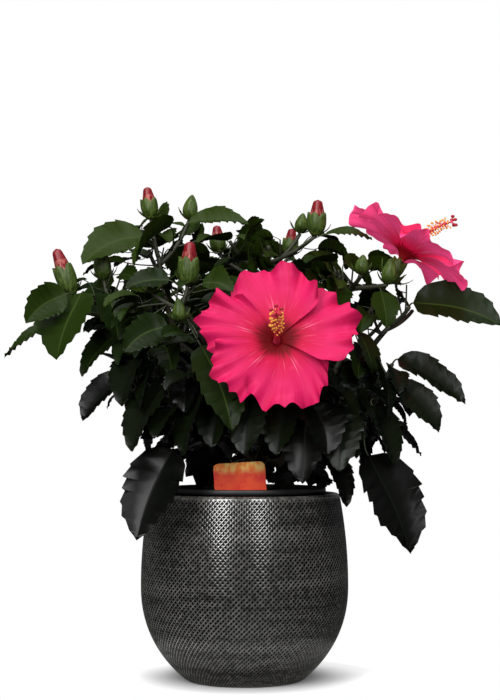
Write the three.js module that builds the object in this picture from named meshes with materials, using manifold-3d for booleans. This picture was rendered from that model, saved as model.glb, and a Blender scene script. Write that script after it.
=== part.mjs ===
// A hibiscus shrub in bloom, in its grey knurled cover pot.
// Millimetres, +Z up, origin at the centre of the pot's flat foot, front towards -Y.
import * as THREE from "three";
import { mergeVertices } from "three/addons/utils/BufferGeometryUtils.js";
import Module from "manifold-3d";

const wasm = await Module();
wasm.setup();

// ---- Driving dimensions ----

const GAP = 0.3; // air between two pieces that touch
const CUT = 0.4; // how far outside a limb the next one is cut back, a little more than GAP
const LATHE_SIDES = 28;

const POT = { height: 170, foot: 52, belly: 95, bellyHeight: 86, rim: 87, wall: 5, floor: 8, edge: 1.5 };
const POT_INSIDE = [110, 50, 22]; // heights of the inside's rings, from the rim down
const KNURL = { across: 25, deep: 0.9, rows: 12, from: 12, to: 158 };
const LINER = { base: 49, top: 71, lip: 75, lipDepth: 6, lipSlope: 0.8, rise: 6, wall: 1.6, floor: 2 };
const SOIL = { below: 8 }; // its top under the liner's lip
const LABEL = { width: 46, height: 31, corner: 5, thick: 1, stakeWidth: 12, stakeDepth: 24 };
const LABEL_PLACE = { x: -3, y: -58, tilt: -0.06 };

const LEAF = { thick: 0.024, stalk: 0.26, stalkRadius: 1 };
const LEAF_ROWS = [0.26, 0.66];
const LEAF_GAP = 2.4; // air kept on each side of a leaf's middle surface
const CLEAR_OF_TWIG = 4.4; // where a stalk is clear of its own twig
const GOLDEN = 2.39996; // the turn from one leaf to the next, in radians
const STALK_WAY = { along: 0.35, up: 0.12 }; // how a stalk leans off its twig, along it and upwards
const OUTWARD = 0.75; // how far leaves head for the light outside the crown
const LEAN = 0.8; // how far their faces lean out to it
const TRIES = 12; // how often a leaf is turned on before it is left out

const UP = new THREE.Vector3(0, 0, 1);
const v3 = (x, y, z) => new THREE.Vector3(x, y, z);

// ---- Solids ----

// A closed solid from its corner points and its triangles.
function solidOf(points, faces) {
  return new wasm.Manifold(
    new wasm.Mesh({
      numProp: 3,
      vertProperties: new Float32Array(points.flatMap((p) => [p.x, p.y, p.z])),
      triVerts: new Uint32Array(faces.flat()),
    }),
  );
}

function facingOut(points, faces) {
  const made = solidOf(points, faces);
  return made.volume() > 0 ? made : solidOf(points, faces.map(([a, b, c]) => [a, c, b]));
}

// Skin through rings of points that go round the same way, closed by a point at each end.
// On a netted skin the quads are split one way and the other in turn.
function ringSolid(rings, first, last, netted = false) {
  const n = rings[0].length;
  const points = [first, ...rings.flat(), last];
  const faces = [];
  const end = points.length - 1;
  for (let j = 0; j < n; j++) {
    const k = (j + 1) % n;
    faces.push([0, 1 + k, 1 + j]);
    faces.push([end, end - n + j, end - n + k]);
    for (let i = 0; i + 1 < rings.length; i++) {
      const a = 1 + i * n;
      const quad = [a + j, a + k, a + n + k, a + n + j];
      if (netted && (i + j) % 2) quad.push(quad.shift());
      faces.push(quad.slice(0, 3), [quad[0], quad[2], quad[3]]);
    }
  }
  return facingOut(points, faces);
}

// A closed sheet between two grids of points, top and bottom, both [row][column].
function sheetSolid(top, bottom) {
  const rows = top.length;
  const cols = top[0].length;
  const points = [...top.flat(), ...bottom.flat()];
  const at = (side, i, j) => side * rows * cols + i * cols + j;
  const faces = [];
  const quad = (a, b, c, d) => faces.push([a, b, c], [a, c, d]);
  for (let i = 0; i + 1 < rows; i++) {
    for (let j = 0; j + 1 < cols; j++) {
      quad(at(0, i, j), at(0, i + 1, j), at(0, i + 1, j + 1), at(0, i, j + 1));
      quad(at(1, i, j), at(1, i, j + 1), at(1, i + 1, j + 1), at(1, i + 1, j));
    }
    quad(at(0, i, 0), at(1, i, 0), at(1, i + 1, 0), at(0, i + 1, 0));
    quad(at(0, i, cols - 1), at(0, i + 1, cols - 1), at(1, i + 1, cols - 1), at(1, i, cols - 1));
  }
  for (let j = 0; j + 1 < cols; j++) {
    quad(at(0, 0, j), at(0, 0, j + 1), at(1, 0, j + 1), at(1, 0, j));
    quad(at(0, rows - 1, j), at(1, rows - 1, j), at(1, rows - 1, j + 1), at(0, rows - 1, j + 1));
  }
  return facingOut(points, faces);
}

// Two ways across a curve at t, square to it: the first is as level as it can be.
function waysAcross(curve, t) {
  const reach = curve.getPoint(1).sub(curve.getPoint(0));
  const level = Math.hypot(reach.x, reach.y) < 1 ? v3(1, 0, 0) : v3(-reach.y, reach.x, 0);
  const along = curve.getTangent(t);
  const side = level.addScaledVector(along, -level.dot(along)).normalize();
  return { along, side, other: along.clone().cross(side) };
}

// A round limb along a curve: rings square to it, with radiusAt(0..1), flat at both ends.
function limbSolid(curve, radiusAt, rings, sides) {
  const loops = Array.from({ length: rings + 1 }, (_, i) => ringAt(curve, i / rings, radiusAt(i / rings), sides));
  return ringSolid(loops, curve.getPoint(0), curve.getPoint(1));
}

function ringAt(curve, t, radius, sides) {
  const { side, other } = waysAcross(curve, t);
  const centre = curve.getPoint(t);
  return Array.from({ length: sides }, (_, k) => {
    const turn = (k / sides) * 2 * Math.PI;
    return centre
      .clone()
      .addScaledVector(side, radius * Math.cos(turn))
      .addScaledVector(other, radius * Math.sin(turn));
  });
}

// A three.js geometry as a solid: its points merged, flat triangles left out, faces outward.
function geometrySolid(geometry) {
  geometry.deleteAttribute("normal");
  geometry.deleteAttribute("uv");
  const merged = mergeVertices(geometry, 1e-3);
  const corners = Array.from({ length: merged.attributes.position.count }, (_, i) =>
    new THREE.Vector3().fromBufferAttribute(merged.attributes.position, i),
  );
  const index = merged.index.array;
  const faces = [];
  for (let i = 0; i < index.length; i += 3) {
    const [a, b, c] = index.slice(i, i + 3);
    if (a !== b && b !== c && c !== a) faces.push([a, b, c]);
  }
  return facingOut(corners, faces);
}

// A solid of revolution from a profile of [radius, height] pairs that starts and ends on the axis.
function latheSolid(profile, sides) {
  const lathe = new THREE.LatheGeometry(profile.map(([r, z]) => new THREE.Vector2(r, z)), sides);
  return geometrySolid(lathe.rotateX(Math.PI / 2));
}

const joined = (solids) => wasm.Manifold.union(solids);

// The largest body of a solid: loose scraps go, and a sealed hollow is filled.
function wholeBody(solid) {
  const bodies = solid.decompose().sort((a, b) => b.volume() - a.volume());
  return bodies[0];
}

// ---- Where things are ----

// The same numbers from the same seed, each between 0 and 1.
function seeded(seed) {
  let state = seed;
  return () => {
    state = (state * 48271) % 2147483647;
    return state / 2147483647;
  };
}

// Everything placed so far, as triangles and edges: a new leaf must cross none of it.
const placed = [];

function boxOf(points) {
  return new THREE.Box3().setFromPoints(points);
}

// Whether the stretch from p to q goes through the triangle a, b, c.
function pierces([p, q], [a, b, c]) {
  const along = q.clone().sub(p);
  const ab = b.clone().sub(a);
  const ac = c.clone().sub(a);
  const h = along.clone().cross(ac);
  const det = ab.dot(h);
  if (Math.abs(det) < 1e-9) return false;
  const ap = p.clone().sub(a);
  const u = ap.dot(h) / det;
  if (u < 0 || u > 1) return false;
  const k = ap.clone().cross(ab);
  const v = along.dot(k) / det;
  if (v < 0 || u + v > 1) return false;
  const t = ac.dot(k) / det;
  return t >= 0 && t <= 1;
}

function touches(one, other) {
  if (!one.box.intersectsBox(other.box)) return false;
  return (
    one.edges.some((e) => other.triangles.some((t) => pierces(e, t))) ||
    other.edges.some((e) => one.triangles.some((t) => pierces(e, t)))
  );
}

// The test shape of a grid of points [row][column]: two triangles to a cell, with their edges.
function gridShape(grid) {
  const triangles = [];
  const edges = [];
  for (let i = 0; i < grid.length; i++)
    for (let j = 0; j < grid[i].length; j++) {
      const p = grid[i][j];
      const right = grid[i][j + 1];
      const next = grid[i + 1]?.[j];
      const over = grid[i + 1]?.[j + 1];
      if (right) edges.push([p, right]);
      if (next) edges.push([p, next]);
      if (over) {
        edges.push([p, over]);
        triangles.push([p, right, over], [p, over, next]);
      }
    }
  return { triangles, edges, box: boxOf(grid.flat()) };
}

// A limb's test shape: its skin, LEAF_GAP / 2 further out.
function limbShape(curve, radiusAt) {
  const grid = Array.from({ length: 7 }, (_, i) => {
    const ring = ringAt(curve, i / 6, radiusAt(i / 6) + LEAF_GAP / 2, 4);
    return [...ring, ring[0]];
  });
  return gridShape(grid);
}

// ---- Pot, liner, soil and label ----

// The pot's outside: a soft shoulder above the belly and a quick round turn below it.
function potRadius(z) {
  if (z > POT.bellyHeight) {
    const up = (z - POT.bellyHeight) / (POT.height - POT.bellyHeight);
    return POT.belly - (POT.belly - POT.rim) * up ** 2;
  }
  const down = (POT.bellyHeight - z) / POT.bellyHeight;
  return POT.foot + (POT.belly - POT.foot) * (1 - down ** 2.2) ** 0.86;
}

// Rings up the outside, over the lip and down the inside. The outside is knurled: ridges run both
// ways slantwise and cross at every second point, and the points between the crossings are sunk.
function potSolid() {
  const columns = 2 * Math.round((2 * Math.PI * POT.belly) / KNURL.across);
  const rise = (KNURL.to - KNURL.from) / KNURL.rows;
  const knurled = Array.from({ length: KNURL.rows + 1 }, (_, i) => KNURL.from + rise * i);
  const outside = [0, 5, ...knurled, POT.height - POT.edge];
  const wall = [
    ...outside.map((z) => [potRadius(z), z]),
    [POT.rim - POT.edge, POT.height],
    [POT.rim - POT.wall + 1, POT.height],
    ...[POT.height - 1, ...POT_INSIDE, POT.floor].map((z) => [potRadius(z) - POT.wall, z]),
  ];
  const rings = wall.map(([radius, z], i) => {
    const deep = i < outside.length && knurled.includes(z) ? KNURL.deep : 0;
    return Array.from({ length: columns }, (_, j) => {
      const turn = (j / columns) * 2 * Math.PI;
      const out = radius - ((i + j) % 2) * deep;
      return v3(out * Math.cos(turn), out * Math.sin(turn), z);
    });
  });
  return ringSolid(rings, v3(0, 0, 0), v3(0, 0, POT.floor), true);
}

const linerFloor = POT.floor + GAP;
const linerTop = POT.height + LINER.rise;
const linerInside = linerFloor + LINER.floor;
const soilTop = linerTop - SOIL.below;

// The liner's outer radius at a height: a plain taper up to the lip.
function linerRadius(z) {
  return LINER.base + ((LINER.top - LINER.base) * (z - linerFloor)) / (linerTop - linerFloor);
}

function linerSolid() {
  const lipBottom = linerTop - LINER.lipDepth;
  const inner = (z) => linerRadius(z) - LINER.wall;
  return latheSolid(
    [
      [0, linerFloor],
      [LINER.base, linerFloor],
      [linerRadius(lipBottom), lipBottom],
      [LINER.lip, lipBottom + LINER.lipSlope],
      [LINER.lip, linerTop],
      [inner(linerTop), linerTop],
      [inner(linerInside), linerInside],
      [0, linerInside],
    ],
    LATHE_SIDES,
  );
}

function soilSolid() {
  const bottom = linerInside + GAP;
  const edge = (z) => linerRadius(z) - LINER.wall - GAP * 1.5;
  const profile = [[0, bottom], [edge(bottom), bottom], [edge(soilTop), soilTop], [0, soilTop]];
  const plug = latheSolid(profile, LATHE_SIDES);
  return plug.subtract(labelSolid(GAP));
}

// The label: a card with round corners on a pointed stake in the soil. extra widens it all round.
function labelSolid(extra) {
  const { width, height, corner, stakeWidth, stakeDepth, thick } = LABEL;
  const w = width / 2 + extra;
  const low = -extra;
  const high = height + extra;
  const s = stakeWidth / 2 + extra;
  const card = new THREE.Shape();
  card.moveTo(-s, low);
  card.lineTo(-w + corner, low);
  card.quadraticCurveTo(-w, low, -w, low + corner);
  card.lineTo(-w, high - corner);
  card.quadraticCurveTo(-w, high, -w + corner, high);
  card.lineTo(w - corner, high);
  card.quadraticCurveTo(w, high, w, high - corner);
  card.lineTo(w, low + corner);
  card.quadraticCurveTo(w, low, w - corner, low);
  card.lineTo(s, low);
  card.lineTo(0, -stakeDepth - 2 * extra);
  card.closePath();
  const plate = new THREE.ExtrudeGeometry(card, { depth: thick + 2 * extra, bevelEnabled: false, curveSegments: 3 });
  plate.rotateX(Math.PI / 2);
  plate.translate(0, thick / 2 + extra, 0);
  plate.rotateY(LABEL_PLACE.tilt);
  plate.translate(LABEL_PLACE.x, LABEL_PLACE.y, soilTop + GAP);
  return geometrySolid(plate);
}

// ---- Trunk and boughs ----

const TRUNK = { foot: v3(36, 2, soilTop + GAP), top: v3(30, 10, 262), bow: v3(6, 0, 0), radius: 8.5, tip: 5.5, flare: 4 };

// Each bough: what carries it and how far up, the tip it reaches, its radii at foot and tip.
const BOUGHS = {
  bough_left: { on: "trunk", at: 0.5, to: v3(-100, -8, 322), foot: 4.6, tip: 2.9 },
  bough_top_left: { on: "bough_left", at: 0.5, to: v3(-74, 2, 352), foot: 3.2, tip: 2.5 },
  bough_centre_left: { on: "trunk", at: 0.8, to: v3(-42, -52, 318), foot: 4, tip: 2.6 },
  bough_low_left: { on: "trunk", at: 0.28, to: v3(-44, -34, 240), foot: 3.6, tip: 2.6 },
  bough_low_front: { on: "trunk", at: 0.14, to: v3(0, -40, 208), foot: 3.2, tip: 2.4 },
  bough_low_centre: { on: "trunk", at: 0.22, to: v3(58, -46, 214), foot: 3.2, tip: 2.4 },
  bough_top_centre: { on: "trunk", at: 0.97, to: v3(18, 22, 352), foot: 4.2, tip: 2.8 },
  bough_top_right: { on: "trunk", at: 0.86, to: v3(88, -14, 342), foot: 4, tip: 2.6 },
  bough_right: { on: "trunk", at: 0.66, to: v3(116, -10, 302), foot: 4.2, tip: 2.6 },
  bough_low_right: { on: "trunk", at: 0.36, to: v3(88, -26, 236), foot: 3.6, tip: 2.6 },
  bough_back_left: { on: "trunk", at: 0.58, to: v3(-42, 66, 292), foot: 4, tip: 2.6 },
  bough_back_right: { on: "trunk", at: 0.48, to: v3(88, 68, 286), foot: 4, tip: 2.6 },
  bough_back_top: { on: "bough_top_centre", at: 0.4, to: v3(16, 72, 350), foot: 3, tip: 2.4 },
  bough_low_back: { on: "trunk", at: 0.2, to: v3(24, 62, 226), foot: 3.4, tip: 2.5 },
  bough_bloom_front: { on: "bough_top_centre", at: 0.25, to: v3(26, -62, 306), foot: 2.8, tip: 2.2 },
  bough_bloom_side: { on: "bough_top_right", at: 0.55, to: v3(120, -18, 344), foot: 2.6, tip: 2.1 },
};

const limbs = {};

// A limb leaves its carrier outwards and then turns up to its tip.
function limbCurve(from, to) {
  const reach = to.clone().sub(from);
  const bend = v3(from.x + reach.x * 0.6, from.y + reach.y * 0.6, from.z + reach.z * 0.32);
  return new THREE.QuadraticBezierCurve3(from, bend, to);
}

function growTrunk() {
  const { foot, top, bow, radius, tip, flare } = TRUNK;
  const curve = new THREE.QuadraticBezierCurve3(foot, foot.clone().lerp(top, 0.5).add(bow), top);
  // The root flare dies out over the lowest fifth.
  const radiusAt = (t) => radius + (tip - radius) * t + flare * Math.max(0, 1 - t * 5) ** 2;
  const made = (extra) => {
    const loops = [0, 0.08, 0.2, 0.45, 0.72, 1].map((t) => ringAt(curve, t, radiusAt(t) + extra, 10));
    for (const p of loops[0]) p.z = foot.z - extra;
    return ringSolid(loops, foot.clone().addScaledVector(UP, -extra), top.clone().addScaledVector(UP, extra));
  };
  limbs.trunk = { curve, radiusAt, solid: made(0), wide: made(CUT) };
  placed.push(limbShape(curve, radiusAt));
}

// Boughs are cut back from their carrier and from the boughs made before them, GAP clear.
function growBoughs() {
  for (const [name, bough] of Object.entries(BOUGHS)) {
    const carrier = limbs[bough.on];
    const curve = limbCurve(carrier.curve.getPoint(bough.at), bough.to);
    const radiusAt = (t) => bough.foot + (bough.tip - bough.foot) * t;
    const made = (extra) => limbSolid(curve, (t) => radiusAt(t) + extra, 5, 5);
    let solid = made(0);
    for (const other of Object.values(limbs)) solid = solid.subtract(other.wide);
    limbs[name] = { curve, radiusAt, solid: wholeBody(solid), wide: made(CUT) };
    placed.push(limbShape(curve, radiusAt));
  }
}

// ---- Leaves ----

// A leaf's middle line: it sets out at its rise above the level and bends down evenly by its droop.
function leafPoint(leaf, u) {
  const { base, heading, rise, droop, length } = leaf;
  const bend = Math.abs(droop) < 0.02 ? 0.02 : droop;
  const out = ((Math.sin(rise) - Math.sin(rise - bend * u)) * length) / bend;
  const up = ((Math.cos(rise - bend * u) - Math.cos(rise)) * length) / bend;
  return v3(base.x + heading.x * out, base.y + heading.y * out, base.z + up);
}

// Along the leaf, across it, and off its upper face, at u of its length.
function leafFrame(leaf, u) {
  const angle = leaf.rise - leaf.droop * u;
  const along = leaf.heading.clone().multiplyScalar(Math.cos(angle)).addScaledVector(UP, Math.sin(angle));
  const level = leaf.heading.clone().cross(UP);
  const face = level.clone().cross(along);
  const roll = leaf.roll + leaf.twist * u;
  const across = level.multiplyScalar(Math.cos(roll)).addScaledVector(face, Math.sin(roll));
  return { along, across, face: across.clone().cross(along) };
}

// Half the width at u: broad in the lower third, drawn out to a point.
function leafHalfWidth(leaf, u) {
  return leaf.wide * leaf.length * 2.5 * u ** 0.5 * (1 - u) ** 0.85;
}

// Left edge, middle and right edge at u.
function leafRow(leaf, u) {
  const middle = leafPoint(leaf, u);
  const { across } = leafFrame(leaf, u);
  const w = leafHalfWidth(leaf, u);
  return [middle.clone().addScaledVector(across, -w), middle, middle.clone().addScaledVector(across, w)];
}

// One solid of three-cornered rings: a stalk that starts inside its twig, then the blade,
// flat underneath and raised to a ridge along the middle line.
function leafSolid(leaf) {
  const { across, face } = leafFrame(leaf, 0);
  const corners = [v3(-1, -0.6, 0), v3(0, 1.1, 0), v3(1, -0.6, 0)];
  const around = (p, size) =>
    corners.map((c) => p.clone().addScaledVector(across, c.x * size).addScaledVector(face, c.y * size));
  const blade = LEAF_ROWS.map((u) => {
    const [left, middle, right] = leafRow(leaf, u);
    return [left, middle.addScaledVector(leafFrame(leaf, u).face, LEAF.thick * leaf.length), right];
  });
  const foot = around(leaf.stalkFrom, LEAF.stalkRadius / 2);
  return ringSolid([foot, around(leaf.base, LEAF.stalkRadius), ...blade], leaf.stalkFrom, leafPoint(leaf, 1));
}

// The leaf's test shapes. blade is its middle surface and the same surface LEAF_GAP above and
// below. whole adds the stalk, from where it is clear of its own twig. middle is what later leaves meet.
function leafShape(leaf) {
  const clear = Math.min(0.9, CLEAR_OF_TWIG / leaf.stalkFrom.distanceTo(leaf.base));
  const stalk = [leaf.stalkFrom.clone().lerp(leaf.base, clear), leaf.base];
  const lifted = (p, u, off) => p.clone().addScaledVector(leafFrame(leaf, u).face, off);
  const layers = [0, LEAF_GAP, -LEAF_GAP].map((off) =>
    gridShape([0.02, ...LEAF_ROWS, 0.99].map((u) => leafRow(leaf, u).map((p) => lifted(p, u, off)))),
  );
  const stalks = [0, LEAF_GAP, -LEAF_GAP].map((off) => stalk.map((p) => lifted(p, 0, off)));
  const triangles = layers.flatMap((layer) => layer.triangles);
  const edges = layers.flatMap((layer) => layer.edges);
  const box = boxOf([...edges, ...stalks].flat());
  return {
    blade: { triangles, edges, box },
    whole: { triangles, edges: [...edges, ...stalks], box },
    middle: { triangles: layers[0].triangles, edges: [...layers[0].edges, stalk], box },
  };
}

// Keeps a leaf if it crosses nothing placed before it. Its stalk may touch its own twig.
function settle(leaf, twig) {
  const shape = leafShape(leaf);
  if (placed.some((other) => touches(other === twig.shape ? shape.blade : shape.whole, other))) return false;
  placed.push(shape.middle);
  return true;
}

// A leaf of the given kind on a twig: its stalk stands off the twig at its turn.
function leafOn(twig, at, turn, kind) {
  const from = twig.getPoint(at);
  const { along, side, other } = waysAcross(twig, at);
  const off = side.multiplyScalar(Math.cos(turn)).addScaledVector(other, Math.sin(turn));
  const way = off.addScaledVector(along, STALK_WAY.along).addScaledVector(UP, STALK_WAY.up).normalize();
  const outward = v3(from.x, from.y, 0).normalize();
  const heading = v3(way.x, way.y, 0).normalize().addScaledVector(outward, OUTWARD).normalize();
  const roll = kind.roll - LEAN * heading.clone().cross(UP).dot(outward);
  return { ...kind, roll, stalkFrom: from, base: from.clone().addScaledVector(way, kind.stalk), heading };
}

// A leaf drawn from its base to a named tip: the droop bends the line between them.
function leafTo(twig, spec) {
  const from = twig.getPoint(spec.at);
  const reach = spec.tip.clone().sub(spec.base);
  const level = Math.hypot(reach.x, reach.y);
  const chord = reach.length();
  const droop = spec.droop ?? 0.9;
  return {
    stalkFrom: from,
    base: spec.base.clone(),
    heading: v3(reach.x / level, reach.y / level, 0),
    rise: Math.atan2(reach.z, level) + droop / 2,
    droop,
    length: (chord * (droop / 2)) / Math.sin(droop / 2),
    wide: spec.wide ?? 0.32,
    roll: spec.roll ?? 0,
    twist: 0,
  };
}

// ---- Buds ----

// A bud: a green calyx that swells from its stalk, and the twisted tip of petals out of it.
function budSolid(bud) {
  const { base, to, girth } = bud;
  const curve = new THREE.LineCurve3(base, to);
  return limbSolid(curve, (t) => girth * (0.2 + 0.8 * Math.sin(Math.PI * t ** 0.75) ** 0.8), 4, 5);
}

// ---- Foliage ----

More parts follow.
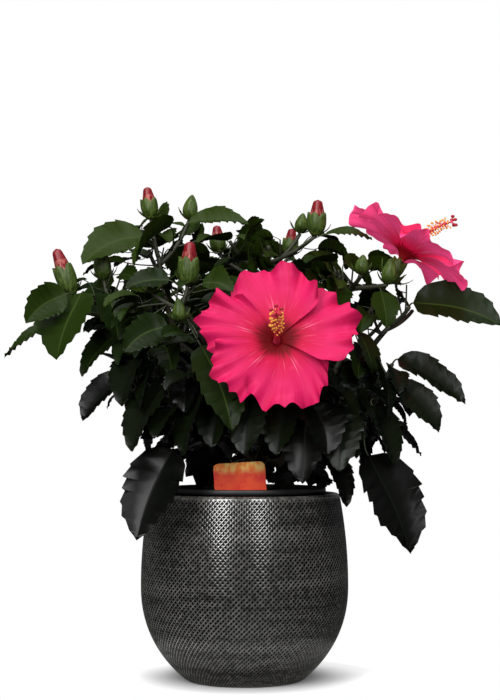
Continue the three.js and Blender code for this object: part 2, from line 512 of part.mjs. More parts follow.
// Each mass grows from its bough's tip. space: centre and half sizes that its leaves stay in.
// hang: how far its leaves hang, from 0 to 1, and size: a full-grown leaf's length.
// shoots: where each twig ends, how many leaves the rule may set on it, and its bud, if any.
// leaves: the ones with a place of their own, each from a base to a tip.
const MASSES = {
  foliage_left_far: {
    bough: "bough_left",
    crown: v3(-128, -12, 346),
    space: [v3(-140, -8, 334), v3(80, 80, 66)],
    hang: 0.5,
    size: 73,
    shoots: [
      { to: v3(-158, -20, 352), leaves: 4, bud: { to: v3(-173, -21, 394), girth: 9.5 } },
      { to: v3(-130, -8, 366), leaves: 4, bud: { to: v3(-133, -8, 398), girth: 8 } },
      { to: v3(-140, 42, 350), leaves: 6 },
    ],
    leaves: [
      { shoot: 0, at: 0.75, base: v3(-147, -40, 352), tip: v3(-166, -66, 290), wide: 0.42, droop: 0.9 },
      { shoot: 0, at: 0.9, base: v3(-160, -48, 350), tip: v3(-193, -72, 322), wide: 0.3, droop: 0.8, roll: 1.2 },
      { shoot: 1, at: 0.5, base: v3(-124, -36, 352), tip: v3(-112, -62, 306), wide: 0.32, droop: 1.1 },
      { shoot: 0, at: 0.4, base: v3(-176, 2, 326), tip: v3(-223, 4, 295), wide: 0.17, droop: 0.7, roll: 0.5 },
    ],
  },
  foliage_top_left: {
    bough: "bough_top_left",
    crown: v3(-80, 0, 388),
    space: [v3(-84, 6, 390), v3(80, 80, 52)],
    hang: 0.15,
    size: 66,
    shoots: [
      { to: v3(-87, 0, 424), leaves: 2, bud: { to: v3(-91, 0, 454), girth: 8 } },
      { to: v3(-52, 10, 424), leaves: 2, bud: { to: v3(-49, 10, 448), girth: 7 } },
      { to: v3(-92, 50, 400), leaves: 5 },
    ],
    leaves: [
      { shoot: 0, at: 0.55, base: v3(-92, -14, 406), tip: v3(-147, -34, 378), wide: 0.3, droop: 1.1, roll: 0.8 },
      { shoot: 1, at: 0.6, base: v3(-52, -6, 420), tip: v3(4, -16, 417), wide: 0.22, droop: 0.8, roll: -0.7 },
    ],
  },
  foliage_centre_left: {
    bough: "bough_centre_left",
    crown: v3(-56, -66, 338),
    space: [v3(-64, -72, 338), v3(70, 62, 60)],
    hang: 0.5,
    size: 66,
    shoots: [
      { to: v3(-50, -70, 356), leaves: 4, bud: { to: v3(-48, -71, 395), girth: 9.5 } },
      { to: v3(-82, -52, 350), leaves: 4, bud: { to: v3(-86, -54, 374), girth: 6.5 } },
      { to: v3(-56, -92, 322), leaves: 4, bud: { to: v3(-57, -96, 342), girth: 6 } },
    ],
    leaves: [
      { shoot: 2, at: 0.7, base: v3(-66, -94, 318), tip: v3(-103, -112, 294), wide: 0.3, droop: 1.0, roll: 1.2 },
      { shoot: 0, at: 0.7, base: v3(-66, -76, 360), tip: v3(-104, -84, 352), wide: 0.3, droop: 0.9, roll: 0.8 },
      { shoot: 2, at: 0.3, base: v3(-38, -84, 302), tip: v3(-10, -112, 226), wide: 0.24, droop: 0.6, roll: -0.4 },
    ],
  },
  foliage_left_low: {
    bough: "bough_low_left",
    crown: v3(-72, -50, 258),
    space: [v3(-82, -46, 246), v3(70, 84, 92)],
    hang: 0.9,
    size: 90,
    shoots: [
      { to: v3(-104, -34, 292), leaves: 6 },
      { to: v3(-100, -66, 264), leaves: 6 },
      { to: v3(-60, -88, 250), leaves: 6 },
      { to: v3(-92, 14, 258), leaves: 6 },
      { to: v3(-66, -60, 226), leaves: 4 },
    ],
    leaves: [
      { shoot: 2, at: 0.6, base: v3(-62, -88, 212), tip: v3(-92, -108, 134), wide: 0.3, droop: 0.5, roll: 0.6 },
      { shoot: 0, at: 0.8, base: v3(-112, -34, 318), tip: v3(-146, -44, 276), wide: 0.24, droop: 0.8, roll: 0.6 },
      { shoot: 1, at: 0.8, base: v3(-106, -58, 276), tip: v3(-143, -66, 236), wide: 0.3, droop: 0.8, roll: 0.6 },
      { shoot: 2, at: 0.9, base: v3(-72, -90, 268), tip: v3(-96, -112, 210), wide: 0.32, droop: 0.8 },
    ],
  },
  foliage_front_low: {
    bough: "bough_low_front",
    crown: v3(-14, -58, 246),
    space: [v3(-16, -70, 262), v3(72, 58, 58)],
    hang: 0.8,
    size: 79,
    shoots: [
      { to: v3(-36, -74, 272), leaves: 7 },
      { to: v3(4, -78, 268), leaves: 7 },
      { to: v3(-14, -52, 262), leaves: 5 },
    ],
    leaves: [
      { shoot: 0, at: 0.9, base: v3(-38, -88, 264), tip: v3(-52, -108, 206), wide: 0.3, droop: 0.7, roll: -0.4 },
      { shoot: 1, at: 0.5, base: v3(-16, -80, 268), tip: v3(-28, -100, 212), wide: 0.3, droop: 0.8 },
      { shoot: 1, at: 0.9, base: v3(6, -84, 262), tip: v3(0, -106, 206), wide: 0.3, droop: 0.7 },
    ],
  },
  foliage_centre_low: {
    bough: "bough_low_centre",
    crown: v3(56, -60, 238),
    space: [v3(64, -66, 234), v3(50, 58, 72)],
    hang: 0.9,
    size: 81,
    shoots: [
      { to: v3(40, -72, 262), leaves: 6 },
      { to: v3(86, -72, 252), leaves: 6 },
      { to: v3(52, -80, 236), leaves: 6 },
      { to: v3(66, -58, 218), leaves: 5 },
    ],
    leaves: [
      { shoot: 1, at: 0.6, base: v3(74, -84, 206), tip: v3(88, -98, 162), wide: 0.3, droop: 0.6 },
      { shoot: 0, at: 0.9, base: v3(34, -80, 258), tip: v3(28, -102, 206), wide: 0.3, droop: 0.8 },
      { shoot: 2, at: 0.9, base: v3(54, -88, 240), tip: v3(50, -106, 182), wide: 0.3, droop: 0.7 },
      { shoot: 1, at: 0.9, base: v3(84, -82, 250), tip: v3(82, -106, 192), wide: 0.3, droop: 0.7 },
      { shoot: 3, at: 0.8, base: v3(38, -66, 200), tip: v3(74, -80, 186), wide: 0.24, droop: 0.6, roll: 1.0 },
    ],
  },
  foliage_top_centre: {
    bough: "bough_top_centre",
    crown: v3(20, 18, 384),
    space: [v3(18, 6, 386), v3(84, 74, 50)],
    hang: 0.25,
    size: 68,
    shoots: [
      { to: v3(66, -6, 408), leaves: 4, bud: { to: v3(68, -8, 441), girth: 9 } },
      { to: v3(52, 14, 412), leaves: 2, bud: { to: v3(55, 12, 431), girth: 6 } },
      { to: v3(-14, 4, 404), leaves: 5 },
      { to: v3(22, -22, 396), leaves: 5 },
      { to: v3(18, 50, 408), leaves: 5 },
    ],
    leaves: [
      { shoot: 0, at: 0.55, base: v3(74, -17, 408), tip: v3(117, -23, 402), wide: 0.24, droop: 0.8, roll: -0.4 },
      { shoot: 2, at: 0.6, base: v3(-16, -14, 402), tip: v3(-42, -46, 396), wide: 0.32, droop: 0.9 },
    ],
  },
  foliage_top_right: {
    bough: "bough_top_right",
    crown: v3(98, -34, 358),
    space: [v3(100, -36, 358), v3(64, 66, 54)],
    hang: 0.4,
    size: 64,
    shoots: [
      { to: v3(104, -60, 366), leaves: 4, bud: { to: v3(106, -62, 384), girth: 6 } },
      { to: v3(128, -52, 358), leaves: 4, bud: { to: v3(132, -54, 382), girth: 6.5 } },
      { to: v3(84, -40, 372), leaves: 5 },
      { to: v3(110, 22, 376), leaves: 5 },
    ],
    leaves: [
      { shoot: 2, at: 0.8, base: v3(78, -54, 378), tip: v3(54, -84, 374), wide: 0.34, droop: 0.9 },
      { shoot: 1, at: 0.75, base: v3(122, -56, 352), tip: v3(126, -66, 318), wide: 0.36, droop: 0.8 },
    ],
  },
  foliage_right: {
    bough: "bough_right",
    crown: v3(134, -14, 324),
    space: [v3(138, -2, 330), v3(88, 84, 44)],
    hang: 0.5,
    size: 77,
    shoots: [
      { to: v3(150, -30, 340), leaves: 4 },
      { to: v3(158, 22, 340), leaves: 5 },
      { to: v3(118, -44, 318), leaves: 4 },
    ],
    leaves: [
      { shoot: 0, at: 0.95, base: v3(154, -22, 344), tip: v3(232, -40, 322), wide: 0.26, droop: 0.8, roll: -0.9 },
      { shoot: 2, at: 0.7, base: v3(102, -56, 316), tip: v3(114, -66, 274), wide: 0.3, droop: 0.8 },
    ],
  },
  foliage_right_low: {
    bough: "bough_low_right",
    crown: v3(112, -34, 256),
    space: [v3(118, -28, 228), v3(78, 84, 84)],
    hang: 0.9,
    size: 83,
    shoots: [
      { to: v3(134, -34, 288), leaves: 4 },
      { to: v3(136, -58, 262), leaves: 4 },
      { to: v3(112, -76, 240), leaves: 4 },
      { to: v3(138, 18, 250), leaves: 5 },
    ],
    leaves: [
      { shoot: 0, at: 0.95, base: v3(138, -38, 292), tip: v3(198, -46, 251), wide: 0.24, droop: 0.6, roll: -0.7 },
      { shoot: 1, at: 0.9, base: v3(136, -60, 270), tip: v3(171, -72, 226), wide: 0.28, droop: 0.7, roll: -0.7 },
      { shoot: 3, at: 0.7, base: v3(128, -2, 240), tip: v3(163, 0, 204), wide: 0.18, droop: 0.5, roll: -0.5 },
      { shoot: 1, at: 0.6, base: v3(112, -78, 250), tip: v3(130, -94, 198), wide: 0.32, droop: 0.6 },
      { shoot: 2, at: 0.7, base: v3(108, -84, 206), tip: v3(143, -98, 122), wide: 0.32, droop: 0.5, roll: -0.6 },
    ],
  },
  foliage_back_left: {
    bough: "bough_back_left",
    crown: v3(-74, 92, 318),
    space: [v3(-80, 106, 306), v3(84, 92, 96)],
    hang: 0.6,
    size: 83,
    shoots: [
      { to: v3(-126, 80, 344), leaves: 6 },
      { to: v3(-92, 136, 342), leaves: 6 },
      { to: v3(-56, 112, 368), leaves: 5 },
      { to: v3(-112, 108, 284), leaves: 6 },
    ],
    leaves: [],
  },
  foliage_back_right: {
    bough: "bough_back_right",
    crown: v3(104, 92, 308),
    space: [v3(92, 106, 298), v3(76, 92, 96)],
    hang: 0.6,
    size: 83,
    shoots: [
      { to: v3(136, 76, 336), leaves: 6 },
      { to: v3(108, 136, 338), leaves: 6 },
      { to: v3(82, 108, 362), leaves: 5 },
      { to: v3(128, 104, 272), leaves: 6 },
    ],
    leaves: [],
  },
  foliage_back_top: {
    bough: "bough_back_top",
    crown: v3(12, 96, 378),
    space: [v3(12, 104, 376), v3(84, 80, 54)],
    hang: 0.3,
    size: 71,
    shoots: [
      { to: v3(-26, 94, 402), leaves: 5, bud: { to: v3(-28, 95, 430), girth: 8 } },
      { to: v3(44, 102, 400), leaves: 5, bud: { to: v3(47, 104, 428), girth: 8 } },
      { to: v3(10, 146, 388), leaves: 6 },
    ],
    leaves: [],
  },
  foliage_low_back: {
    bough: "bough_low_back",
    crown: v3(14, 92, 244),
    space: [v3(12, 108, 234), v3(92, 80, 84)],
    hang: 0.9,
    size: 88,
    shoots: [
      { to: v3(-50, 110, 258), leaves: 6 },
      { to: v3(14, 136, 268), leaves: 6 },
      { to: v3(68, 114, 250), leaves: 6 },
      { to: v3(6, 118, 232), leaves: 4 },
    ],
    leaves: [],
  },
};

const STEM_RADIUS = { foot: 2.6, crown: 2.2, tip: 1.8 };
const SHOOT_STEP = 0.16; // how much lower on the stem each shoot starts than the one before

// A mass's stem from its bough's tip to its crown, and the shoots that leave it there and lower.
function growStems(mass) {
  const carrier = limbs[mass.bough];
  const tip = carrier.curve.getPoint(1);
  const along = carrier.curve.getTangent(1);
  const foot = tip.clone().addScaledVector(along, GAP);
  const bend = foot.clone().addScaledVector(along, foot.distanceTo(mass.crown) * 0.4);
  const stem = new THREE.QuadraticBezierCurve3(foot, bend, mass.crown);
  mass.stem = { curve: stem, radiusAt: (t) => STEM_RADIUS.foot + (STEM_RADIUS.crown - STEM_RADIUS.foot) * t };
  mass.twigs = mass.shoots.map((shoot, i) => {
    const start = stem.getPoint(1 - SHOOT_STEP * i);
    const radiusAt = (t) => STEM_RADIUS.crown + (STEM_RADIUS.tip - STEM_RADIUS.crown) * t;
    return { curve: limbCurve(start, shoot.to), radiusAt };
  });
  for (const limb of [mass.stem, ...mass.twigs]) {
    limb.shape = limbShape(limb.curve, limb.radiusAt);
    placed.push(limb.shape);
  }
}

// The crown's edges as they look from in front, one and a half metres away: the height, and how
// far the crown reaches to the left and to the right there. Sky shows outside them.
const EYE = v3(5, -1475, 233);
const OUTLINE = [
  [126, -92, 138],
  [165, -106, 138],
  [200, -88, 131],
  [222, -98, 146],
  [237, -134, 158],
  [259, -130, 166],
  [278, -124, 152],
  [290, -148, 130],
  [300, -165, 114],
  [318, -176, 114],
  [330, -188, 128],
  [345, -186, 164],
  [378, -178, 160],
  [395, -158, 152],
  [410, -136, 138],
  [425, -112, 108],
  [455, -94, 90],
];

// Where a point is seen against the upright plane through the pot's axis.
function seen(p) {
  const near = -EYE.y / (p.y - EYE.y);
  return [EYE.x + (p.x - EYE.x) * near, EYE.z + (p.z - EYE.z) * near];
}

function inOutline(p) {
  const [x, z] = seen(p);
  const over = OUTLINE.findIndex(([height]) => height > z);
  if (over < 1) return false;
  const [low, lowLeft, lowRight] = OUTLINE[over - 1];
  const [high, highLeft, highRight] = OUTLINE[over];
  const up = (z - low) / (high - low);
  return x > lowLeft + (highLeft - lowLeft) * up && x < lowRight + (highRight - lowRight) * up;
}

// Blossom that leaves keep out of the way of: its middle, and how far round it they leave free,
// in millimetres for a bud and times its radius for a bloom.
const BUD_ROOM = 17;
const BLOOM_ROOM = 1.15;
const blossom = [];

function hidesBlossom(p) {
  const [x, z] = seen(p);
  return blossom.some(({ centre, room }) => {
    const [bx, bz] = seen(centre);
    return p.y < centre.y && Math.hypot(x - bx, z - bz) < room;
  });
}

function inSpace([centre, half], leaf) {
  const inside = [0.35, 0.7, 1].every((u) => {
    const p = leafPoint(leaf, u).sub(centre);
    return (p.x / half.x) ** 2 + (p.y / half.y) ** 2 + (p.z / half.z) ** 2 < 1;
  });
  const edges = inside ? [...LEAF_ROWS, 1].flatMap((u) => leafRow(leaf, u)) : [];
  return inside && edges.every((p) => inOutline(p) && !hidesBlossom(p));
}

// Leaves by rule: evenly along the outer part of each shoot, each a golden turn on from the last.
// Low on the shoot they are full size and hang, near its tip they are small and stand up.
// A leaf that leaves the space or touches anything is turned on, TRIES times at most, then skipped.
function growLeaves(mass, seed) {
  const random = seeded(seed);
  const { hang, size } = mass;
  mass.twigs.forEach((twig, i) => {
    const shoot = mass.shoots[i];
    for (let n = 0; n < shoot.leaves; n++) {
      const up = (n + 0.5) / shoot.leaves;
      const length = size * (1.1 - 0.4 * up) * (0.9 + 0.2 * random());
      const kind = {
        length,
        stalk: length * (LEAF.stalk + 0.2 * random()),
        rise: 0.1 + 0.45 * up - 0.55 * hang + 0.35 * random(),
        droop: 1.05 + 0.5 * random() + 0.2 * hang,
        wide: 0.27 + 0.06 * random(),
        roll: (random() - 0.5) * 0.9,
        twist: (random() - 0.5) * 0.6,
      };
      const turn = n * GOLDEN + random() * 0.8 + i;
      for (let again = 0; again < TRIES; again++) {
        const leaf = leafOn(twig.curve, 0.15 + 0.83 * up, turn + again * 0.85, kind);
        if (inSpace(mass.space, leaf) && settle(leaf, twig)) {
          mass.grown.push(leaf);
          break;
        }
        kind.length *= 0.95;
        kind.rise += again % 2 ? 0.22 : -0.2;
      }
    }
  });
}

function massSolid(mass) {
  const pieces = [mass.stem, ...mass.twigs].map((limb) => limbSolid(limb.curve, limb.radiusAt, 3, 3));
  for (const leaf of mass.grown) pieces.push(leafSolid(leaf));
  for (const bud of mass.buds) pieces.push(budSolid(bud));
  return wholeBody(joined(pieces));
}

// ---- Blooms ----

const PETAL = { count: 5, rows: 3, columns: 8, thick: 1.5, throat: 3 };

// Each bloom: how deep its cup is and how far its margin waves, and its column of stamens.
// Its five petals start evenly round the throat. Each turns aside by its own shift on the way out,
// and reaches and widens a little more or less than the next.
const BLOOMS = {
  bloom_front: {
    bough: "bough_bloom_front",
    centre: v3(28, -108, 310),
    axis: v3(-0.02, -0.94, 0.34),
    radius: 69,
    spin: 0.2,
    cup: 16,
    ruffle: 4.5,
    overlap: -7,
    petals: [
      { shift: 0.05, reach: 1.02, wide: 0.98 },
      { shift: 0.2, reach: 0.98, wide: 1.14 },
      { shift: 0.12, reach: 1, wide: 0.68 },
      { shift: -0.1, reach: 0.94, wide: 0.76 },
      { shift: -0.27, reach: 0.98, wide: 1.02 },
    ],
    column: { length: 46, lift: 0 },
  },
  bloom_side: {
    bough: "bough_bloom_side",
    centre: v3(154, -28, 399),
    axis: v3(0.56, 0.12, 0.82),
    radius: 64,
    spin: 0.9,
    cup: 21,
    ruffle: 7,
    overlap: 2.5,
    petals: [
      { shift: 0.1, reach: 1.02, wide: 1 },
      { shift: 0, reach: 0.92, wide: 1.05 },
      { shift: 0.05, reach: 0.94, wide: 1.15 },
      { shift: 0.05, reach: 0.96, wide: 1.05 },
      { shift: 0, reach: 0.98, wide: 1 },
    ],
    column: { length: 35, lift: -17 },
  },
};

// The bloom's own frame: its axis, and two ways across it.
function bloomFrame(bloom) {
  const axis = bloom.axis.clone().normalize();
  const side = v3(-axis.y, axis.x, 0).normalize();
  return { axis, side, lift: axis.clone().cross(side) };
}

// A point of petal number n: u runs out from the throat, v from -1 to 1 across.
// One edge of each petal lies over the next one's, and the margin is ruffled.
function petalPoint(bloom, n, u, v) {
  const { axis, side, lift } = bloomFrame(bloom);
  const { throat } = PETAL;
  const { cup, ruffle, overlap } = bloom;
  const { shift, reach, wide } = bloom.petals[n];
  const half = 0.7 + (0.84 * wide - 0.7) * Math.sin(Math.PI * u * 0.62);
  const turn = bloom.spin + (n * 2 * Math.PI) / PETAL.count + shift * u + v * half;
  const out = throat + (bloom.radius * reach - throat) * u * (1 - 0.28 * Math.abs(v) ** 2.6 * u);
  const wave = Math.sin(v * 7 + n * 1.9) * 0.6 + Math.sin(v * 12.5 + n * 4.1) * 0.4;
  const high = cup * (Math.sqrt(u) * 1.25 - 0.45 * u * u) + v * overlap * u + ruffle * wave * u ** 3;
  return bloom.centre
    .clone()
    .addScaledVector(side, out * Math.cos(turn))
    .addScaledVector(lift, out * Math.sin(turn))
    .addScaledVector(axis, high - cup);
}

function petalGrid(bloom, n, off) {
  const { axis } = bloomFrame(bloom);
  return Array.from({ length: PETAL.rows + 1 }, (_, i) =>
    Array.from({ length: PETAL.columns + 1 }, (_, j) => {
      const u = 0.02 + 0.98 * (i / PETAL.rows);
      const v = -1 + (2 * j) / PETAL.columns;
      return petalPoint(bloom, n, u, v).addScaledVector(axis, off);
    }),
  );
}

// The round parts of a bloom: the column of stamens and stigmas that stands out of the throat,
// the stalk from its bough, and the green calyx between stalk and petals.
function bloomLimbs(bloom) {
  const { axis, lift } = bloomFrame(bloom);
  const along = (distance) => bloom.centre.clone().addScaledVector(axis, distance);
  const back = -bloom.cup;
  const { length, lift: raise } = bloom.column;
  const tip = along(length).addScaledVector(lift, raise);
  const carrier = limbs[bloom.bough].curve;
  const foot = carrier.getPoint(1).addScaledVector(carrier.getTangent(1), GAP);
  const bend = foot.clone().addScaledVector(carrier.getTangent(1), 8);
  return [
    {
      curve: new THREE.QuadraticBezierCurve3(along(back), along(length * 0.4), tip),
      radiusAt: (t) => 2.6 + 3.2 * Math.max(0, t - 0.45),
      rings: 4,
    },
    { curve: new THREE.QuadraticBezierCurve3(foot, bend, along(back - 20)), radiusAt: () => 1.9, rings: 3 },
    {
      curve: new THREE.LineCurve3(along(back - 23), along(back + 0.22 * bloom.cup)),
      radiusAt: (t) => 3 + 5 * Math.sin(Math.PI * (0.1 + 0.55 * t)),
      rings: 3,
    },
  ];
}

function bloomSolid(bloom) {
  const pieces = bloomLimbs(bloom).map((limb) => limbSolid(limb.curve, limb.radiusAt, limb.rings, 6));
  for (let n = 0; n < PETAL.count; n++)
    pieces.push(sheetSolid(petalGrid(bloom, n, PETAL.thick / 2), petalGrid(bloom, n, -PETAL.thick / 2)));
  return wholeBody(joined(pieces));
}

// ---- The whole plant in its pot ----

const plant = new THREE.Group();

function addNode(name, solid, look) {
  const { vertProperties, triVerts, numProp } = solid.getMesh();
  const geometry = new THREE.BufferGeometry();
  const position = new Float32Array((vertProperties.length / numProp) * 3);
  for (let i = 0; i < position.length / 3; i++)
    for (let k = 0; k < 3; k++) position[3 * i + k] = vertProperties[numProp * i + k];
  geometry.setAttribute("position", new THREE.BufferAttribute(position, 3));
  geometry.setIndex(new THREE.BufferAttribute(triVerts, 1));
  geometry.computeVertexNormals();
  const mesh = new THREE.Mesh(geometry, new THREE.MeshStandardMaterial(look));
  mesh.name = name;
  plant.add(mesh);
}

const BARK = { color: "#4d4636", roughness: 0.85 };
const GREEN = { color: "#2f3f20", roughness: 0.55 };
const PINK = { color: "#e43468", roughness: 0.6 };

addNode("pot", potSolid(), { color: "#45433f", roughness: 0.35 });
addNode("nursery_pot", linerSolid(), { color: "#161616", roughness: 0.5 });
addNode("soil", soilSolid(), { color: "#2a1e15", roughness: 1 });
addNode("label_card", labelSolid(0), { color: "#d8742c", roughness: 0.4 });

growTrunk();
growBoughs();
for (const [name, limb] of Object.entries(limbs)) addNode(name, limb.solid, BARK);

for (const bloom of Object.values(BLOOMS)) {
  blossom.push({ centre: bloom.centre, room: BLOOM_ROOM * bloom.radius });
  for (let n = 0; n < PETAL.count; n++) placed.push(gridShape(petalGrid(bloom, n, 0)));
  for (const limb of bloomLimbs(bloom)) placed.push(limbShape(limb.curve, limb.radiusAt));
}
for (const mass of Object.values(MASSES)) {
  growStems(mass);
  mass.grown = [];
  mass.buds = mass.shoots.flatMap((shoot) => (shoot.bud ? [{ base: shoot.to, ...shoot.bud }] : []));
  for (const bud of mass.buds) {
    blossom.push({ centre: bud.base.clone().lerp(bud.to, 0.5), room: BUD_ROOM });
    placed.push(limbShape(new THREE.LineCurve3(bud.base, bud.to), () => bud.girth));
  }
}
for (const mass of Object.values(MASSES))
  for (const spec of mass.leaves) {
    const twig = mass.twigs[spec.shoot];
    const leaf = leafTo(twig.curve, spec);
    if (settle(leaf, twig)) mass.grown.push(leaf);
  }
Object.values(MASSES).forEach((mass, i) => growLeaves(mass, 11 + 7 * i));
for (const [name, mass] of Object.entries(MASSES)) addNode(name, massSolid(mass), GREEN);
for (const [name, bloom] of Object.entries(BLOOMS)) addNode(name, bloomSolid(bloom), PINK);

export default plant;
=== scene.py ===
# A hibiscus shrub in bloom, in a black nursery pot that stands inside a grey knurled cover pot.
# Sizes are in millimetres, with z up and the front towards -y. Each mesh is scaled to metres as
# it is made.
import math

import bmesh
import bpy
import numpy as np
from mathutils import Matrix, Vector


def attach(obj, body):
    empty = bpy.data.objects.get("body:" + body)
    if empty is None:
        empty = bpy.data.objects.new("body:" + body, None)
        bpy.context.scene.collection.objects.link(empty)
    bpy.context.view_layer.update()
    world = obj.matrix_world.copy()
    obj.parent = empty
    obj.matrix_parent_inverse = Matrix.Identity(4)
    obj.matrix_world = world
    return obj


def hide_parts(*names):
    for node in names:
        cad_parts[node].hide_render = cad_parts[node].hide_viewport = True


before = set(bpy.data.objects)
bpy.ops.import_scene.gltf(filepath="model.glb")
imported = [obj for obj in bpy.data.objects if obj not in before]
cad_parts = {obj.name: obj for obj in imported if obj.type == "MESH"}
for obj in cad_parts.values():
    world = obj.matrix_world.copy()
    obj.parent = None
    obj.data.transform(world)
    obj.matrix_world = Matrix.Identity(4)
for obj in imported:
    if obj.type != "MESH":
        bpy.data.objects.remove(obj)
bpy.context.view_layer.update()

# ---- Cover pot ----
# A thrown ceramic pot with a dark grey satin glaze. Its outside is knurled: a net of fine raised
# diagonals with sunk diamonds between them, smooth only along the lip and the foot.

MM = 0.001
POT = {"height": 170, "foot": 52, "belly": 95, "belly_height": 86, "rim": 87, "wall": 5, "floor": 8}
# The turn out of the foot, where the even rows start and end, the round of the lip, and the shallow
# dish under the foot with its standing ring.
EDGE = {"foot": 1.2, "low": 1.4, "high": 1.5, "lip": 1.6, "ring": 3, "ring_rise": 0.2}
DISH = {"depth": 1.5, "radius": 40}
KNURL = {"around": 128, "height": 4.7, "depth": 1.1, "proud": 0.35, "plain": 1.4, "steps": 4}


def grid_faces(rows, cols, closed=False):
    """Four point numbers for each cell of a grid whose point (i, j) is number i * cols + j.
    The face looks along (way across) x (way along). closed joins the last column to the first."""
    i, j = np.meshgrid(np.arange(rows - 1), np.arange(cols if closed else cols - 1), indexing="ij")
    here, beside = i * cols + j, i * cols + (j + 1) % cols
    return np.stack([here, beside, beside + cols, here + cols], -1).reshape(-1, 4)


def shown(name, data):
    """A new object of the scene."""
    made = bpy.data.objects.new(name, data)
    bpy.context.scene.collection.objects.link(made)
    return made


class Heap:
    """Grids of points gathered into one mesh."""

    def __init__(self):
        self.points, self.faces, self.kinds, self.uvs, self.marks, self.count = [], [], [], [], [], 0

    def add(self, grid, kind=0, closed=False, flip=False, uv=None, mark=None):
        """grid is (rows, columns, 3). kind is the finish's number, one or one for each cell.
        uv (rows, columns, 2) and mark (rows, columns) are what a finish reads at each point."""
        rows, cols = grid.shape[:2]
        faces = grid_faces(rows, cols, closed)
        self.points.append(grid.reshape(-1, 3))
        self.faces.append((faces[:, ::-1] if flip else faces) + self.count)
        self.kinds.append(np.broadcast_to(kind, (rows - 1, len(faces) // (rows - 1))).ravel())
        self.uvs.append(np.zeros((rows * cols, 2)) if uv is None else uv.reshape(-1, 2))
        self.marks.append(np.zeros(rows * cols) if mark is None else mark.ravel())
        self.count += rows * cols

    def piece(self, name, finishes, slot, *nodes):
        """The mesh as an object that rides on the plant and stands for the named CAD nodes.
        Points that share a place are merged, so that seams and poles close."""
        faces = np.concatenate(self.faces)
        mesh = bpy.data.meshes.new(name)
        mesh.vertices.add(self.count)
        mesh.vertices.foreach_set("co", (np.concatenate(self.points) * MM).ravel())
        mesh.loops.add(faces.size)
        mesh.loops.foreach_set("vertex_index", faces.ravel())
        mesh.polygons.add(len(faces))
        mesh.polygons.foreach_set("loop_start", np.arange(len(faces)) * 4)
        mesh.polygons.foreach_set("material_index", np.concatenate(self.kinds).astype(np.int32))
        mesh.polygons.foreach_set("use_smooth", np.ones(len(faces), bool))
        mesh.update(calc_edges=True)
        uv = np.concatenate(self.uvs)[faces.ravel()]
        mesh.uv_layers.new(name="UVMap").data.foreach_set("uv", uv.ravel())
        mark = mesh.attributes.new("mark", "FLOAT", "POINT")
        mark.data.foreach_set("value", np.concatenate(self.marks))
        tidy = bmesh.new()
        tidy.from_mesh(mesh)
        bmesh.ops.remove_doubles(tidy, verts=tidy.verts, dist=1e-6)
        tidy.to_mesh(mesh)
        tidy.free()
        for finish in finishes:
            mesh.materials.append(finish.material)
        made = shown(name, mesh)
        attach(made, "root")
        if nodes:
            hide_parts(*nodes)


class Value:
    """A shader number that does arithmetic: each expression adds its Math node."""

    def __init__(self, finish, socket):
        self.finish, self.socket = finish, socket

    def math(self, operation, *numbers):
        made = self.finish.node("ShaderNodeMath", {"operation": operation}, dict(enumerate(numbers)))
        return Value(self.finish, made.outputs[0])

    def __add__(self, other):
        return self.math("ADD", self, other)

    def __radd__(self, other):
        return self.math("ADD", other, self)

    def __sub__(self, other):
        return self.math("SUBTRACT", self, other)

    def __rsub__(self, other):
        return self.math("SUBTRACT", other, self)

    def __mul__(self, other):
        return self.math("MULTIPLY", self, other)

    def __rmul__(self, other):
        return self.math("MULTIPLY", other, self)

    def between(self, low, high):
        """0 at low, 1 at high, and smooth between them."""
        settings = {"interpolation_type": "SMOOTHSTEP"}
        sockets = {"Value": self, "From Min": low, "From Max": high}
        return Value(self.finish, self.finish.node("ShaderNodeMapRange", settings, sockets).outputs[0])


